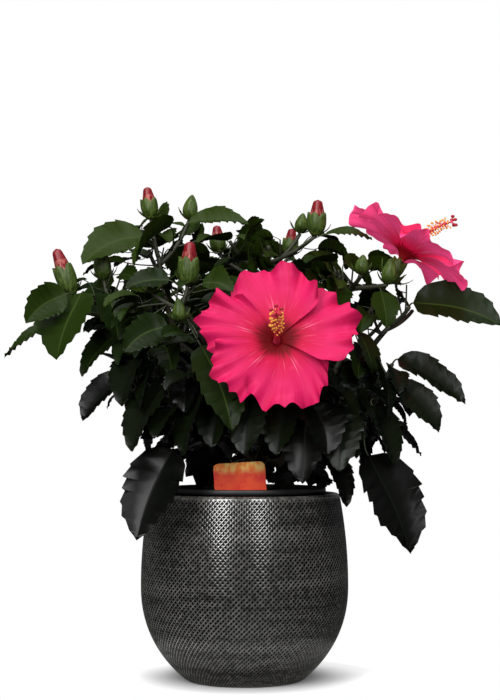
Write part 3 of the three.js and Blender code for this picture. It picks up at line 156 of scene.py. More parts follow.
class Finish:
    """A material. sockets are what is the same all over it; feed() links what changes."""

    def __init__(self, name, sockets):
        self.material = bpy.data.materials.new(name)
        self.material.use_nodes = True
        self.tree = self.material.node_tree
        self.surface = self.tree.nodes["Principled BSDF"]
        for socket, value in sockets.items():
            self.feed(self.surface, socket, value)

    def feed(self, node, socket, value):
        """Links a socket to what makes its value, or sets it to a plain one."""
        if isinstance(value, Value):
            value = value.socket
        if isinstance(value, bpy.types.NodeSocket):
            self.tree.links.new(value, node.inputs[socket])
        else:
            node.inputs[socket].default_value = value

    def vary(self, socket, value):
        """Links what changes over the piece to a socket of its surface."""
        self.feed(self.surface, socket, value)

    def node(self, kind, settings, sockets):
        """One shader node: its type, its settings, then the values or links of its sockets."""
        made = self.tree.nodes.new(kind)
        for name, value in settings.items():
            setattr(made, name, value)
        for socket, value in sockets.items():
            self.feed(made, socket, value)
        return made

    def place(self, scale=(1, 1, 1), source="Object"):
        """Object coordinates or the piece's own UV map, stretched by scale."""
        where = self.node("ShaderNodeTexCoord", {}, {}).outputs[source]
        return self.node("ShaderNodeMapping", {}, {"Vector": where, "Scale": scale}).outputs[0]

    def noise(self, scale, detail, roughness=0.5, stretch=(1, 1, 1), source="Object"):
        """Smooth chance values round 0.5, drawn out where stretch is small."""
        where = self.place(stretch, source)
        sockets = {"Vector": where, "Scale": scale, "Detail": detail, "Roughness": roughness}
        return Value(self, self.node("ShaderNodeTexNoise", {}, sockets).outputs["Fac"])

    def part(self, axis, source="Object"):
        """One coordinate of the place, X, Y or Z."""
        split = self.node("ShaderNodeSeparateXYZ", {}, {"Vector": self.place(source=source)})
        return Value(self, split.outputs[axis])

    def mark(self):
        """The number that the mesh carries at each point."""
        made = self.node("ShaderNodeAttribute", {"attribute_name": "mark"}, {})
        return Value(self, made.outputs["Fac"])

    def mix(self, share, low, high):
        """low where share is 0, high where it is 1."""
        made = self.node("ShaderNodeMix", {"data_type": "RGBA"}, {0: share, 6: low, 7: high})
        return made.outputs[2]

    def bump(self, height, distance, strength):
        """Fine relief, distance metres high."""
        sockets = {"Height": height, "Distance": distance, "Strength": strength}
        self.vary("Normal", self.node("ShaderNodeBump", {}, sockets).outputs[0])


def pot_radius(z):
    """Radius of the outside at height z: above the belly it draws in with the square of the way up,
    and below it with a power of 1 - down ** 2.2, so that the turn into the foot is quick and round."""
    up = np.clip((z - POT["belly_height"]) / (POT["height"] - POT["belly_height"]), 0, 1)
    down = np.clip((POT["belly_height"] - z) / POT["belly_height"], 0, 1)
    above = POT["belly"] - (POT["belly"] - POT["rim"]) * up**2
    below = POT["foot"] + (POT["belly"] - POT["foot"]) * (1 - down**2.2) ** 0.86
    return np.where(z > POT["belly_height"], above, below)


def even_path(radius, height, step):
    """The path through the given points again, at even steps of its length. Gives radius, height
    and the distance along it."""
    run = np.concatenate([[0], np.cumsum(np.hypot(np.diff(radius), np.diff(height)))])
    at = np.linspace(0, run[-1], round(run[-1] / step) + 1)
    return np.interp(at, run, radius), np.interp(at, run, height), at


def turns(count):
    """Even turns round a circle, n / count of a whole one each."""
    return np.arange(count) / count * 2 * np.pi


def turned(radius, height, count):
    """Grid of points on a surface of revolution: radius and height (rows) or (rows, columns)."""
    turn = turns(count)
    radius, height = (
        np.broadcast_to(np.reshape(a, (len(a), -1)), (len(a), count)) for a in (radius, height)
    )
    return np.stack([radius * np.cos(turn), radius * np.sin(turn), height], -1)


def knurled_pot():
    """Rows run from the middle of the underside up the outside, over the lip and down to the floor.
    Outside, p and q count the diagonals that rise to either side. The relief falls with the square
    of the way from a ridge, where p or q is whole, to a diamond's middle, where both are half way."""
    columns = KNURL["around"] * KNURL["steps"]
    out_of_foot = EDGE["foot"] * np.linspace(0, 1, 8) ** 2
    z = np.concatenate([out_of_foot, np.linspace(EDGE["low"], POT["height"] - EDGE["high"], 400)])
    radius, height, along = even_path(pot_radius(z), z, KNURL["height"] / KNURL["steps"])
    rows = np.arange(len(along))[:, None] / KNURL["steps"]
    cells = np.arange(columns)[None, :] / KNURL["steps"]
    from_ridge = [np.abs(turn - np.round(turn)) for turn in (cells + rows, cells - rows)]
    sunk = 2 * np.minimum(*from_ridge)
    ends = np.minimum(along, along[-1] - along)[:, None]
    sunk = sunk * np.clip((ends - KNURL["plain"]) / KNURL["plain"], 0, 1)
    slope = np.gradient(height), -np.gradient(radius)
    size = np.hypot(*slope)
    out, up = (slope[0] / size)[:, None], (slope[1] / size)[:, None]
    rest = KNURL["proud"] - KNURL["depth"] * sunk**2
    outside = radius[:, None] + out * rest, np.maximum(0, height[:, None] + up * rest)
    half_wall = POT["wall"] / 2
    before = (
        np.array([0, DISH["radius"], POT["foot"] - EDGE["ring"]]),
        np.array([DISH["depth"], DISH["depth"], EDGE["ring_rise"]]),
    )
    over_lip = np.linspace(0.15, np.pi - 0.15, 8)
    lip_radius = POT["rim"] - half_wall + half_wall * np.cos(over_lip)
    lip_height = POT["height"] - EDGE["lip"] + EDGE["lip"] * np.sin(over_lip)
    inner = np.linspace(POT["height"] - 3, POT["floor"] + 2, 12)
    after = (
        np.concatenate([lip_radius, pot_radius(inner) - POT["wall"], [DISH["radius"], 0]]),
        np.concatenate([lip_height, inner, [POT["floor"]] * 2]),
    )
    heap = Heap()
    grids = [turned(*before, columns), turned(*outside, columns), turned(*after, columns)]
    marks = [np.zeros(grids[0].shape[:2]), sunk, np.zeros(grids[2].shape[:2])]
    heap.add(np.concatenate(grids), closed=True, mark=np.concatenate(marks))
    return heap


glaze = Finish("dark_glaze", {"Specular IOR Level": 0.06, "Coat Roughness": 0.16, "Coat IOR": 1.9})
bands = glaze.noise(1.0, 4, 0.6, stretch=(5, 5, 90))
grain = glaze.noise(260, 3, 0.7)
speck = glaze.noise(900, 2)
wear = (0.5 * bands + 0.6 * grain).between(0.4, 0.72)
worn = glaze.mix(wear, (0.02, 0.0195, 0.0172, 1), (0.17, 0.166, 0.148, 1))
hollow = glaze.mark().between(0.12, 0.5)
clear_of_foot = glaze.part("Z").between(0.01, 0.07)
# The sunk diamonds are painted near black: painted shade in the hollows of the knurl.
glaze.vary("Base Color", glaze.mix(hollow, worn, (0.0015, 0.0015, 0.0014, 1)))
glaze.vary("Roughness", 0.4 + 0.2 * grain)
glaze.vary("Coat Weight", (1 - hollow) * clear_of_foot * (0.25 + 1.3 * grain))
glaze.bump(speck, 0.0002, 0.5)
knurled_pot().piece("cover_pot", [glaze], "pot_glaze", "pot")

# ---- Nursery pot ----
# The thin black polypropylene pot that the shrub was grown in. It stands loose in the cover pot,
# with its rolled lip just above the glazed rim.

LINER = {"base": 49, "top": 71, "lip": 75, "lip_depth": 6, "rise": 6, "wall": 1.6, "floor": 2}
ROLL = {"radius": 1.2, "height": 2.5, "inner_edge": 1.4}
AIR = 0.3  # between pieces that touch
liner_floor = POT["floor"] + AIR
liner_inside = liner_floor + LINER["floor"]
liner_top = POT["height"] + LINER["rise"]


def liner_radius(z):
    """The outside tapers evenly from the base to the top."""
    up = (z - liner_floor) / (liner_top - liner_floor)
    return LINER["base"] + (LINER["top"] - LINER["base"]) * up


def rolled_liner():
    """Base, outside up to the lip, round the rolled lip, and down the inside to the floor."""
    roll = np.linspace(-0.5 * np.pi, 0.75 * np.pi, 12)
    lip_out = LINER["lip"] - ROLL["radius"] + ROLL["radius"] * np.cos(roll)
    lip_up = liner_top - LINER["lip_depth"] / 2 + ROLL["height"] * np.sin(roll)
    outside = np.linspace(liner_floor, liner_top - LINER["lip_depth"], 12)
    inside = np.linspace(liner_top - ROLL["inner_edge"], liner_inside, 16)
    wall = [liner_radius(outside), lip_out, liner_radius(inside) - LINER["wall"]]
    radius = np.concatenate([[0, LINER["base"] - 1], *wall, [0]])
    height = np.concatenate([[liner_floor] * 2, outside, lip_up, inside, [liner_inside]])
    heap = Heap()
    heap.add(turned(radius, height, 96), closed=True)
    return heap


black = {"Base Color": (0.011, 0.011, 0.012, 1), "Specular IOR Level": 0.4}
plastic = Finish("black_polypropylene", black)
grain = plastic.noise(700, 2)
plastic.vary("Roughness", 0.38 + 0.2 * grain)
plastic.bump(grain, 0.00015, 0.35)
rolled_liner().piece("grow_pot", [plastic], "black_plastic", "nursery_pot")

# ---- Potting soil ----
# Damp peat and bark crumbs round the root ball, filled to a finger's width under the liner's lip.
# They sit in the liner and hold the trunk and the label's stake.

SOIL = {
    "below": 8, "crumb": 1.7, "room": 0.45, "sunk": 0.4, "level_edge": 4, "rings": 44, "around": 150,
}
soil_top = liner_top - SOIL["below"]
soil_radius = liner_radius(soil_top) - LINER["wall"] - SOIL["room"]


def lumps(x, y, size):
    """Crumbs as a sum of sine waves whose ways turn by a golden angle and whose size falls."""
    total = 0
    for n in range(1, 9):
        a = 2.4 * n
        wave = (x * math.cos(a) + y * math.sin(a)) * (0.16 + 0.13 * n)
        total = total + np.sin(wave + 1.7 * n) * np.cos(0.8 * wave - n) / n**0.7
    return size * total / 3


def soil_plug():
    """A plug: its level top in rings round the middle, raised and sunk by lumps, then its side."""
    rings = np.linspace(0, 1, SOIL["rings"]) * soil_radius
    turn = turns(SOIL["around"])
    x, y = rings[:, None] * np.cos(turn), rings[:, None] * np.sin(turn)
    free = np.clip((soil_radius - rings) / SOIL["level_edge"], 0, 1)[:, None]
    high = soil_top - SOIL["sunk"] + lumps(x, y, SOIL["crumb"]) * free
    top = np.stack([x, y, high], -1)
    foot_radius = liner_radius(liner_inside) - LINER["wall"] - 0.5
    side = turned(np.array([foot_radius, 0]), np.array([liner_inside + 0.4] * 2), SOIL["around"])
    heap = Heap()
    heap.add(np.concatenate([top, side]), closed=True, flip=True)
    return heap


soil = Finish("potting_soil", {"Roughness": 0.95, "Specular IOR Level": 0.15})
crumbs = soil.noise(260, 5, 0.7)
damp = soil.mix(crumbs.between(0.35, 0.7), (0.006, 0.004, 0.003, 1), (0.05, 0.033, 0.022, 1))
soil.vary("Base Color", damp)
soil.bump(crumbs, 0.0016, 0.9)
soil_plug().piece("soil_plug", [soil], "soil", "soil")

# ---- Plant label ----
# A small printed card on a stake, pushed into the soil in front of the stem. The print is
# a plain wash of yellow, orange and red.

card = Finish("label_print", {"Roughness": 0.34, "Specular IOR Level": 0.5})
wash = card.noise(90, 6, 0.75)
petal_like = card.noise(260, 3, stretch=(1, 1, 0.5))
upward = card.part("Z").between((soil_top + 10) * MM, (soil_top + 34) * MM)
warm = card.mix(wash.between(0.4, 0.6), (0.58, 0.012, 0.006, 1), (0.66, 0.06, 0.01, 1))
pale = card.mix(petal_like.between(0.4, 0.6), (0.75, 0.19, 0.015, 1), (0.75, 0.45, 0.12, 1))
card.vary("Base Color", card.mix((upward + 0.7 * wash - 0.35).between(0.35, 0.85), warm, pale))
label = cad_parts["label_card"]
label.data.materials.clear()
label.data.materials.append(card.material)

# ---- Trunk and boughs ----
# A short woody stem with a root flare, a slight lean and a fork, and the boughs that rise from it.
# Young grey-brown bark with fine lengthwise ridges and the rings of old leaf scars.

TRUNK = {
    "foot": (36, 2, soil_top + AIR), "top": (30, 10, 262), "bow": (6, 0, 0),
    "thick": 8.5, "thin": 5.5, "flare": 4,
}
BARK = {"sides": 16, "ring_step": 1.6, "ridge": 0.035, "scar": 0.09, "scar_apart": 17}
# Each bough: what carries it and how far up, the tip it reaches, its radii at foot and tip.
BOUGHS = {
    "bough_left": ("trunk", 0.5, (-100, -8, 322), 4.6, 2.9),
    "bough_top_left": ("bough_left", 0.5, (-74, 2, 352), 3.2, 2.5),
    "bough_centre_left": ("trunk", 0.8, (-42, -52, 318), 4, 2.6),
    "bough_low_left": ("trunk", 0.28, (-44, -34, 240), 3.6, 2.6),
    "bough_low_front": ("trunk", 0.14, (0, -40, 208), 3.2, 2.4),
    "bough_low_centre": ("trunk", 0.22, (58, -46, 214), 3.2, 2.4),
    "bough_top_centre": ("trunk", 0.97, (18, 22, 352), 4.2, 2.8),
    "bough_top_right": ("trunk", 0.86, (88, -14, 342), 4, 2.6),
    "bough_right": ("trunk", 0.66, (116, -10, 302), 4.2, 2.6),
    "bough_low_right": ("trunk", 0.36, (88, -26, 236), 3.6, 2.6),
    "bough_back_left": ("trunk", 0.58, (-42, 66, 292), 4, 2.6),
    "bough_back_right": ("trunk", 0.48, (88, 68, 286), 4, 2.6),
    "bough_back_top": ("bough_top_centre", 0.4, (16, 72, 350), 3, 2.4),
    "bough_low_back": ("trunk", 0.2, (24, 62, 226), 3.4, 2.5),
    "bough_bloom_front": ("bough_top_centre", 0.25, (26, -62, 306), 2.8, 2.2),
    "bough_bloom_side": ("bough_top_right", 0.55, (120, -18, 344), 2.6, 2.1),
}
UP = np.array([0.0, 0.0, 1.0])


def unit(v):
    """The same way with length 1."""
    v = np.asarray(v, float)
    return v / np.linalg.norm(v, axis=-1, keepdims=True)


class Curve:
    """A quadratic curve from start past bend to end: (1-t)^2 start + 2t(1-t) bend + t^2 end."""

    def __init__(self, start, bend, end):
        self.start, self.bend, self.end = (np.asarray(p, float) for p in (start, bend, end))

    def at(self, t):
        t = np.asarray(t, float)[..., None]
        return (1 - t) ** 2 * self.start + 2 * t * (1 - t) * self.bend + t**2 * self.end

    def along(self, t):
        """The way it runs: (1-t)(bend - start) + t(end - bend), with length 1."""
        t = np.asarray(t, float)[..., None]
        return unit((1 - t) * (self.bend - self.start) + t * (self.end - self.bend))

    def frame(self, t):
        """Along, side and other at t. side is square to along and as level as it can be."""
        x, y, _ = self.end - self.start
        level = np.array([1.0, 0, 0] if np.hypot(x, y) < 1 else [-y, x, 0])
        along = self.along(t)
        side = unit(level - along * (along @ level)[..., None])
        return along, side, np.cross(along, side)

    def off(self, t, turn):
        """Square off the curve at t, at a turn round it."""
        _, side, other = self.frame(t)
        return side * math.cos(turn) + other * math.sin(turn)

    def tube(self, radius, t, sides):
        """Rings of points round the curve, at radius (one for each t, or for each t and side)."""
        _, side, other = self.frame(t)
        turn = turns(sides)
        spoke = side[:, None] * np.cos(turn)[:, None] + other[:, None] * np.sin(turn)[:, None]
        radius = np.broadcast_to(np.reshape(radius, (len(t), -1)), (len(t), sides))
        return self.at(t)[:, None] + spoke * radius[..., None]


def limb_curve(start, end):
    """A limb leaves its carrier outwards and then turns up to its tip."""
    start, end = np.asarray(start, float), np.asarray(end, float)
    return Curve(start, start + (end - start) * (0.6, 0.6, 0.32), end)


def closed_tube(rings):
    """The rings with a point at each end, so that the tube is closed."""
    ends = [np.broadcast_to(r.mean(0), r.shape)[None] for r in (rings[0], rings[-1])]
    return np.concatenate([ends[0], rings, ends[1]])


def add_tube(heap, curve, radius, t, sides, kind=0):
    """A closed tube of the given radius at each t."""
    heap.add(closed_tube(curve.tube(radius, t, sides)), kind, closed=True)


def even(thick, thin):
    """A radius that goes evenly from thick at the start to thin at the end."""
    return lambda t: thick + (thin - thick) * t


def bark_relief(radius, run, turn):
    """Radius at a distance along the limb and a turn round it: lengthwise ridges that wander, and
    a low ring at each old leaf scar."""
    ridges = np.sin(5 * turn + 0.06 * run + 1.3 * np.sin(0.045 * run))
    ridges = ridges + 0.6 * np.sin(9 * turn - 0.11 * run)
    scars = np.exp(-((np.mod(run, BARK["scar_apart"]) - BARK["scar_apart"] / 2) ** 2) / 1.6)
    return radius * (1 + BARK["ridge"] * ridges + BARK["scar"] * scars)


def trunk_radius(t):
    """An even taper, and a root flare that dies out over the lowest fifth."""
    return even(TRUNK["thick"], TRUNK["thin"])(t) + TRUNK["flare"] * np.clip(1 - 5 * t, 0, 1) ** 2


foot, top = np.array(TRUNK["foot"], float), np.array(TRUNK["top"], float)
limbs = {"trunk": (Curve(foot, (foot + top) / 2 + TRUNK["bow"], top), trunk_radius)}
for name, (on, at, tip, thick, thin) in BOUGHS.items():
    limbs[name] = limb_curve(limbs[on][0].at(at), tip), even(thick, thin)


def bark_limbs():
    """One tube for each limb, closed at its ends."""
    heap = Heap()
    turn = turns(BARK["sides"])
    for curve, radius_at in limbs.values():
        length = np.linalg.norm(curve.end - curve.start)
        t = np.linspace(0, 1, round(length / BARK["ring_step"]))
        radius = bark_relief(radius_at(t)[:, None], (t * length)[:, None], turn)
        add_tube(heap, curve, radius, t, BARK["sides"])
    return heap


bark = Finish("young_bark", {"Roughness": 0.82, "Specular IOR Level": 0.3})
streaks = bark.noise(420, 4, 0.6, stretch=(1, 1, 0.25))
patches = bark.noise(60, 3)
brown = bark.mix(streaks, (0.01, 0.007, 0.0045, 1), (0.05, 0.038, 0.025, 1))
bark.vary("Base Color", bark.mix(patches.between(0.5, 0.8) * 0.5, brown, (0.022, 0.024, 0.01, 1)))
bark.bump(streaks, 0.0004, 0.6)
bark_limbs().piece("bark_limbs", [bark], "bark", *limbs)

# ---- Room in the crown ----
# No leaf crosses a limb, a petal, a bud or another leaf. What is placed is kept as the triangles
# and edges of simple test shapes, and a new leaf is tried against all of it.


def pierced(starts, ends, corners):
    """Whether any stretch from starts to ends goes through any triangle. Each stretch is solved
    against each triangle as start + t (end - start) = a + u (b - a) + v (c - a)."""
    if not len(starts) or not len(corners):
        return False
    ray = (ends - starts)[:, None]
    a, b, c = (corners[None, :, k] for k in range(3))
    h = np.cross(ray, c - a)
    det = ((b - a) * h).sum(-1)
    good = np.abs(det) > 1e-9
    det = np.where(good, det, 1)
    off = starts[:, None] - a
    u = (off * h).sum(-1) / det
    k = np.cross(off, b - a)
    v = (ray * k).sum(-1) / det
    t = ((c - a) * k).sum(-1) / det
    return bool((good & (u >= 0) & (v >= 0) & (u + v <= 1) & (t >= 0) & (t <= 1)).any())


def test_shape(grid):
    """Edges (n, 2, 3) and triangles (m, 3, 3) of a grid of points, two triangles to a cell."""
    here, right, next_row, over = grid[:-1, :-1], grid[:-1, 1:], grid[1:, :-1], grid[1:, 1:]
    pairs = [(grid[:, :-1], grid[:, 1:]), (grid[:-1], grid[1:]), (here, over)]
    edges = np.concatenate([np.stack([p.reshape(-1, 3), q.reshape(-1, 3)], 1) for p, q in pairs])
    corners = [(here, right, over), (here, over, next_row)]
    return edges, np.concatenate([np.stack([p.reshape(-1, 3) for p in trio], 1) for trio in corners])


class Room:
    """Everything placed so far. Each test shape has a number, its owner."""

    def __init__(self, most=60000):
        self.edges, self.triangles = np.zeros((most, 2, 3)), np.zeros((most, 3, 3))
        self.owners = np.zeros(most, int)
        self.edge_count = self.triangle_count = self.shapes = 0

    def add(self, edges, triangles):
        """Keeps a test shape and gives its number."""
        e, t = self.edge_count, self.triangle_count
        self.edge_count, self.triangle_count = e + len(edges), t + len(triangles)
        self.edges[e : self.edge_count] = edges
        self.triangles[t : self.triangle_count] = triangles
        self.owners[t : self.triangle_count] = self.shapes
        self.shapes += 1
        return self.shapes - 1

    def near(self, shapes, count, low, high):
        """Which of the placed edges or triangles reach into the box."""
        some = shapes[:count]
        return ((some.min(1) <= high) & (some.max(1) >= low)).all(-1)

    def free(self, edges, stalks, triangles, own):
        """Whether nothing placed is crossed. The stalk's edges may touch their own twig."""
        both = np.concatenate([edges, stalks]).reshape(-1, 3)
        box = both.min(0), both.max(0)
        close = self.near(self.triangles, self.triangle_count, *box)
        others = self.triangles[: self.triangle_count][close]
        if pierced(edges[:, 0], edges[:, 1], others):
            return False
        foreign = others[self.owners[: self.triangle_count][close] != own]
        if pierced(stalks[:, 0], stalks[:, 1], foreign):
            return False
        lines = self.edges[: self.edge_count][self.near(self.edges, self.edge_count, *box)]
        return not pierced(lines[:, 0], lines[:, 1], triangles)


room = Room()
LEAF_GAP = 2.4  # air on each side of a leaf's middle surface


def add_limb(curve, radius_at):
    """A limb's test shape: a four-sided tube of seven rings, LEAF_GAP / 2 larger than the limb."""
    t = np.linspace(0, 1, 7)
    rings = curve.tube(radius_at(t) + LEAF_GAP / 2, t, 4)
    return room.add(*test_shape(np.concatenate([rings, rings[:, :1]], 1)))


for curve, radius_at in limbs.values():
    add_limb(curve, radius_at)

# ---- Bloom petals ----
# Two open blooms, each of five broad petals that overlap like a fan. They are thin, satin, pink and
# ruffled along the margin, with dark red at the throat and fine veins that run out from it.

# test_rows and test_columns: how many cells the shape has that leaves keep clear of.
PETAL = {"count": 5, "throat": 3, "rows": 44, "columns": 108, "test_rows": 3, "test_columns": 8}
# petals: each one's shift round, its reach and its width. column: its length, bent by lift at its
# tip. throat: how far out the dark red goes. glow: how strongly the petals shine in their own colour,
# painted light for what the thin petals let through.
BLOOMS = {
    "bloom_front": dict(
        bough="bough_bloom_front",
        centre=(28, -108, 310), axis=(-0.02, -0.94, 0.34), radius=69, spin=0.2,
        cup=16, ruffle=4.5, overlap=-7, frill=1.0, column=46, lift=0,
        petals=[(0.05, 1.02, 0.98), (0.2, 0.98, 1.14), (0.12, 1, 0.68), (-0.1, 0.94, 0.76),
                (-0.27, 0.98, 1.02)],
        pink=(0.45, 0.008, 0.074, 1), glow=0.13, throat=0.47,
    ),
    "bloom_side": dict(
        bough="bough_bloom_side",
        centre=(154, -28, 399), axis=(0.56, 0.12, 0.82), radius=64, spin=0.9,
        cup=21, ruffle=7, overlap=2.5, frill=0.55, column=35, lift=-17,
        petals=[(0.1, 1.02, 1), (0, 0.92, 1.05), (0.05, 0.94, 1.15), (0.05, 0.96, 1.05), (0, 0.98, 1)],
        # Lighter pink and a stronger glow than the front bloom: painted light, for petals lit through
        # from behind.
        pink=(0.64, 0.05, 0.17, 1), glow=0.6, throat=0.33,
    ),
}


def bloom_frame(bloom):
    """Axis, side and lift: the way it faces and two ways across it."""
    axis = unit(bloom["axis"])
    side = unit((-axis[1], axis[0], 0))
    return axis, side, np.cross(axis, side)


def petal_points(bloom, n, u, v, frill=0.0):
    """Petal n at u, out from the throat, and v, -1 to 1 across. It turns by its shift times u and by v
    times a half width that swells outwards, reaches less far at its edges, rises as
    1.25 sqrt(u) - 0.45 u^2 of the cup, and waves by sines of v that grow with u^3. frill adds a finer
    ruffle, and a margin of peaks, 1 - |sin|, that grow with u^5."""
    axis, side, lift = bloom_frame(bloom)
    shift, reach, wide = bloom["petals"][n]
    half = 0.7 + (0.84 * wide - 0.7) * np.sin(np.pi * u * 0.62)
    turn = bloom["spin"] + n * 2 * np.pi / PETAL["count"] + shift * u + v * half
    round_edge = 1 - 0.28 * np.abs(v) ** 2.6 * u
    out = PETAL["throat"] + (bloom["radius"] * reach - PETAL["throat"]) * u * round_edge
    wave = np.sin(v * 7 + n * 1.9) * 0.6 + np.sin(v * 12.5 + n * 4.1) * 0.4
    high = bloom["cup"] * (np.sqrt(u) * 1.25 - 0.45 * u * u) + v * bloom["overlap"] * u
    high = high + bloom["ruffle"] * wave * u**3
    fold = np.sin(v * 9 + 2.7 * n + 1.5 * np.sin(2 * v + n)) * u**5
    fine = np.sin(v * 23 + 2.3 * n + 2 * np.sin(3 * v + n)) * u**7
    soft = np.sin(v * 3.1 + 1.7 * n) * np.sin(4.5 * u + n) * u
    high = high + frill * (4.6 * fold + 2.6 * fine + 1.6 * soft)
    near, far = np.abs(np.sin(4.1 * v + 1.3 * n)), np.abs(np.sin(9.7 * v + 2.1 * n + np.sin(3 * v)))
    out = out * (1 + frill * (0.15 * (0.6 - 0.6 * near - 0.4 * far) * u**5 - 0.03 * v**4 * u))
    flat = side * np.cos(turn)[..., None] + lift * np.sin(turn)[..., None]
    return np.asarray(bloom["centre"]) + flat * out[..., None] + axis * (high - bloom["cup"])[..., None]


def petal_grid(bloom, n, rows, columns, first, frill=0.0):
    """Petal n as a grid from u = first to 1 and v = -1 to 1, and its UV map: (v + 1) / 2 and u."""
    u = np.linspace(first, 1, rows + 1)[:, None] * np.ones(columns + 1)
    v = np.ones(rows + 1)[:, None] * np.linspace(-1, 1, columns + 1)
    return petal_points(bloom, n, u, v, frill), np.stack([v * 0.5 + 0.5, u], -1)


def petal_finish(name, pink, glow, throat_end):
    """Satin pink, darker in the veins and dark red at the throat, out to throat_end of the way. It also
    glows in the same colour by glow: painted light for what the thin petals let through.
    """
    petal = Finish(name, {"Specular IOR Level": 0.12, "Emission Strength": glow})
    outward = petal.part("Y", "UV")
    veins = petal.noise(1.0, 2, 0.4, (34, 1.6, 1), "UV")
    blotch = petal.noise(1.2, 3, 0.5, (3, 3, 1), "UV")
    tint = petal.mix(outward.between(0.15, 0.7), (0.4, 0.003, 0.03, 1), pink)
    tint = petal.mix(blotch.between(0.5, 0.75) * 0.35, tint, (0.6, 0.035, 0.14, 1))
    tint = petal.mix(veins.between(0.5, 0.72) * 0.35, tint, (0.36, 0.003, 0.028, 1))
    streak = veins.between(0.4, 0.25) * outward.between(0.2, 0.35) * outward.between(0.65, 0.4)
    tint = petal.mix(0.45 * streak, tint, (0.8, 0.3, 0.4, 1))
    throat = (outward + 0.3 * veins).between(throat_end, 0.28)
    tint = petal.mix(throat, tint, (0.1, 0.0006, 0.0025, 1))
    petal.vary("Base Color", tint)
    # The glow: painted light in the petal's own colour.
    petal.vary("Emission Color", tint)
    petal.vary("Roughness", 0.5 + 0.15 * veins)
    petal.bump(veins, 0.0008, 0.45)
    return petal


for name, bloom in BLOOMS.items():
    heap = Heap()
    for n in range(PETAL["count"]):
        points, _ = petal_grid(bloom, n, PETAL["test_rows"], PETAL["test_columns"], first=0.02)
        room.add(*test_shape(points))
        points, uv = petal_grid(bloom, n, PETAL["rows"], PETAL["columns"], 0.0, bloom["frill"])
        heap.add(points, flip=True, uv=uv)
    petals = name.replace("bloom", "petals")
    finish = petal_finish(petals, bloom["pink"], bloom["glow"], bloom["throat"])
    heap.piece(petals, [finish], "petal", name)

# ---- Bloom columns ----
# From each throat stands a pink column. Its outer half carries short filaments with yellow pollen
# heads, and it ends in five branches with dark red, velvety pads.

GOLDEN = 2.39996  # the turn from one stamen, shoot or leaf to the next, in radians
STAMENS = {
    "count": 78, "from": 0.4, "to": 0.96, "length": 5.6, "head": 1.0, "thread": 0.26, "lean": 0.35,
}
PADS = {"count": 5, "length": 7, "size": 1.9, "spread": 0.85, "stem": 0.55}
CALYX = {"back": 23, "front": 3, "stalk_end": 20}


def ball(centre, radius, rows=5, columns=8, stretch=1.0):
    """A globe: rings at even steps from pole to pole."""
    polar = np.linspace(0, np.pi, rows)
    grid = turned(radius * np.sin(polar), -radius * stretch * np.cos(polar), columns)
    return grid + np.asarray(centre)


def bloom_limbs(bloom):
    """Column, stalk and calyx as curves with their radii. The stalk leaves its bough's tip."""
    axis, _, lift = bloom_frame(bloom)
    centre, back = np.asarray(bloom["centre"], float), -bloom["cup"]
    carrier = limbs[bloom["bough"]][0]
    way = carrier.along(1.0)
    foot = carrier.at(1.0) + way * AIR
    start, end = centre + axis * (back - CALYX["back"]), centre + axis * (back - CALYX["front"])
    tip = centre + axis * bloom["column"] + lift * bloom["lift"]
    stalk_end = centre + axis * (back - CALYX["stalk_end"])
    return {
        "column": (Curve(centre + axis * back, centre + axis * bloom["column"] * 0.4, tip),
                   lambda t: 2.6 + 3.2 * np.maximum(0, t - 0.45)),
        "stalk": (Curve(foot, foot + way * 8, stalk_end), lambda t: 1.9 + 0 * t),
        "calyx": (Curve(start, (start + end) / 2, end),
                  lambda t: 3 + 5 * np.sin(np.pi * (0.1 + 0.55 * t))),
    }


column = Finish("pink_column", {"Base Color": (0.62, 0.03, 0.08, 1), "Roughness": 0.45})
pollen = Finish("yellow_pollen", {"Base Color": (0.82, 0.33, 0.05, 1), "Roughness": 0.85})
stigma = Finish("red_stigma", {"Base Color": (0.34, 0.006, 0.02, 1), "Roughness": 0.8})
for bloom in BLOOMS.values():
    bloom["limbs"] = bloom_limbs(bloom)
    for curve, radius_at in bloom["limbs"].values():
        add_limb(curve, radius_at)

heap = Heap()
for bloom in BLOOMS.values():
    curve, _ = bloom["limbs"]["column"]
    t = np.linspace(0, 1, 26)
    add_tube(heap, curve, 2.3 - 1.1 * t + 1.4 * np.exp(-14 * t), t, 12)
    for n in range(STAMENS["count"]):
        at = STAMENS["from"] + (STAMENS["to"] - STAMENS["from"]) * n / STAMENS["count"]
        start, along = curve.at(at), curve.along(at)
        way = unit(curve.off(at, GOLDEN * n) + STAMENS["lean"] * along)
        end = start + way * (STAMENS["length"] * (0.65 + 0.5 * math.sin(7.1 * n) ** 2))
        thread = Curve(start, (start + end) / 2 + along * 0.6, end)
        heap.add(thread.tube(np.full(3, STAMENS["thread"]), np.linspace(0, 1, 3), 4), closed=True)
        heap.add(ball(end, STAMENS["head"]), 1, closed=True)
    start, along = curve.at(1.0), curve.along(1.0)
    for n in range(PADS["count"]):
        way = unit(along + PADS["spread"] * curve.off(1.0, 2 * math.pi * n / PADS["count"] + 0.4))
        end = start + way * PADS["length"]
        branch = Curve(start, start + along * PADS["length"] * 0.6, end)
        heap.add(branch.tube(np.full(5, PADS["stem"]), np.linspace(0, 1, 5), 5), closed=True)
        heap.add(ball(end, PADS["size"], rows=7, columns=10, stretch=0.8), 2, closed=True)
heap.piece("bloom_columns", [column, pollen, stigma], "petal")

# ---- The crown's plan ----
# Fourteen masses of foliage. Each grows from its bough's tip: a stem to its crown, a shoot to each
# named end, and leaves set on the shoots by rule, each a golden turn on from the last.


def shoot_to(end, leaves, bud=None, girth=0):
    """A shoot's end, how many leaves the rule may set on it, and its bud's tip and girth, if any."""
    return dict(to=end, leaves=leaves, bud=bud and dict(to=bud, girth=girth))


def leaf_at(shoot, at, base, tip, wide, droop, roll=0):
    """A leaf with a place of its own: its shoot's number, how far up it stands, its base and tip."""
    return dict(shoot=shoot, at=at, base=base, tip=tip, wide=wide, droop=droop, roll=roll)


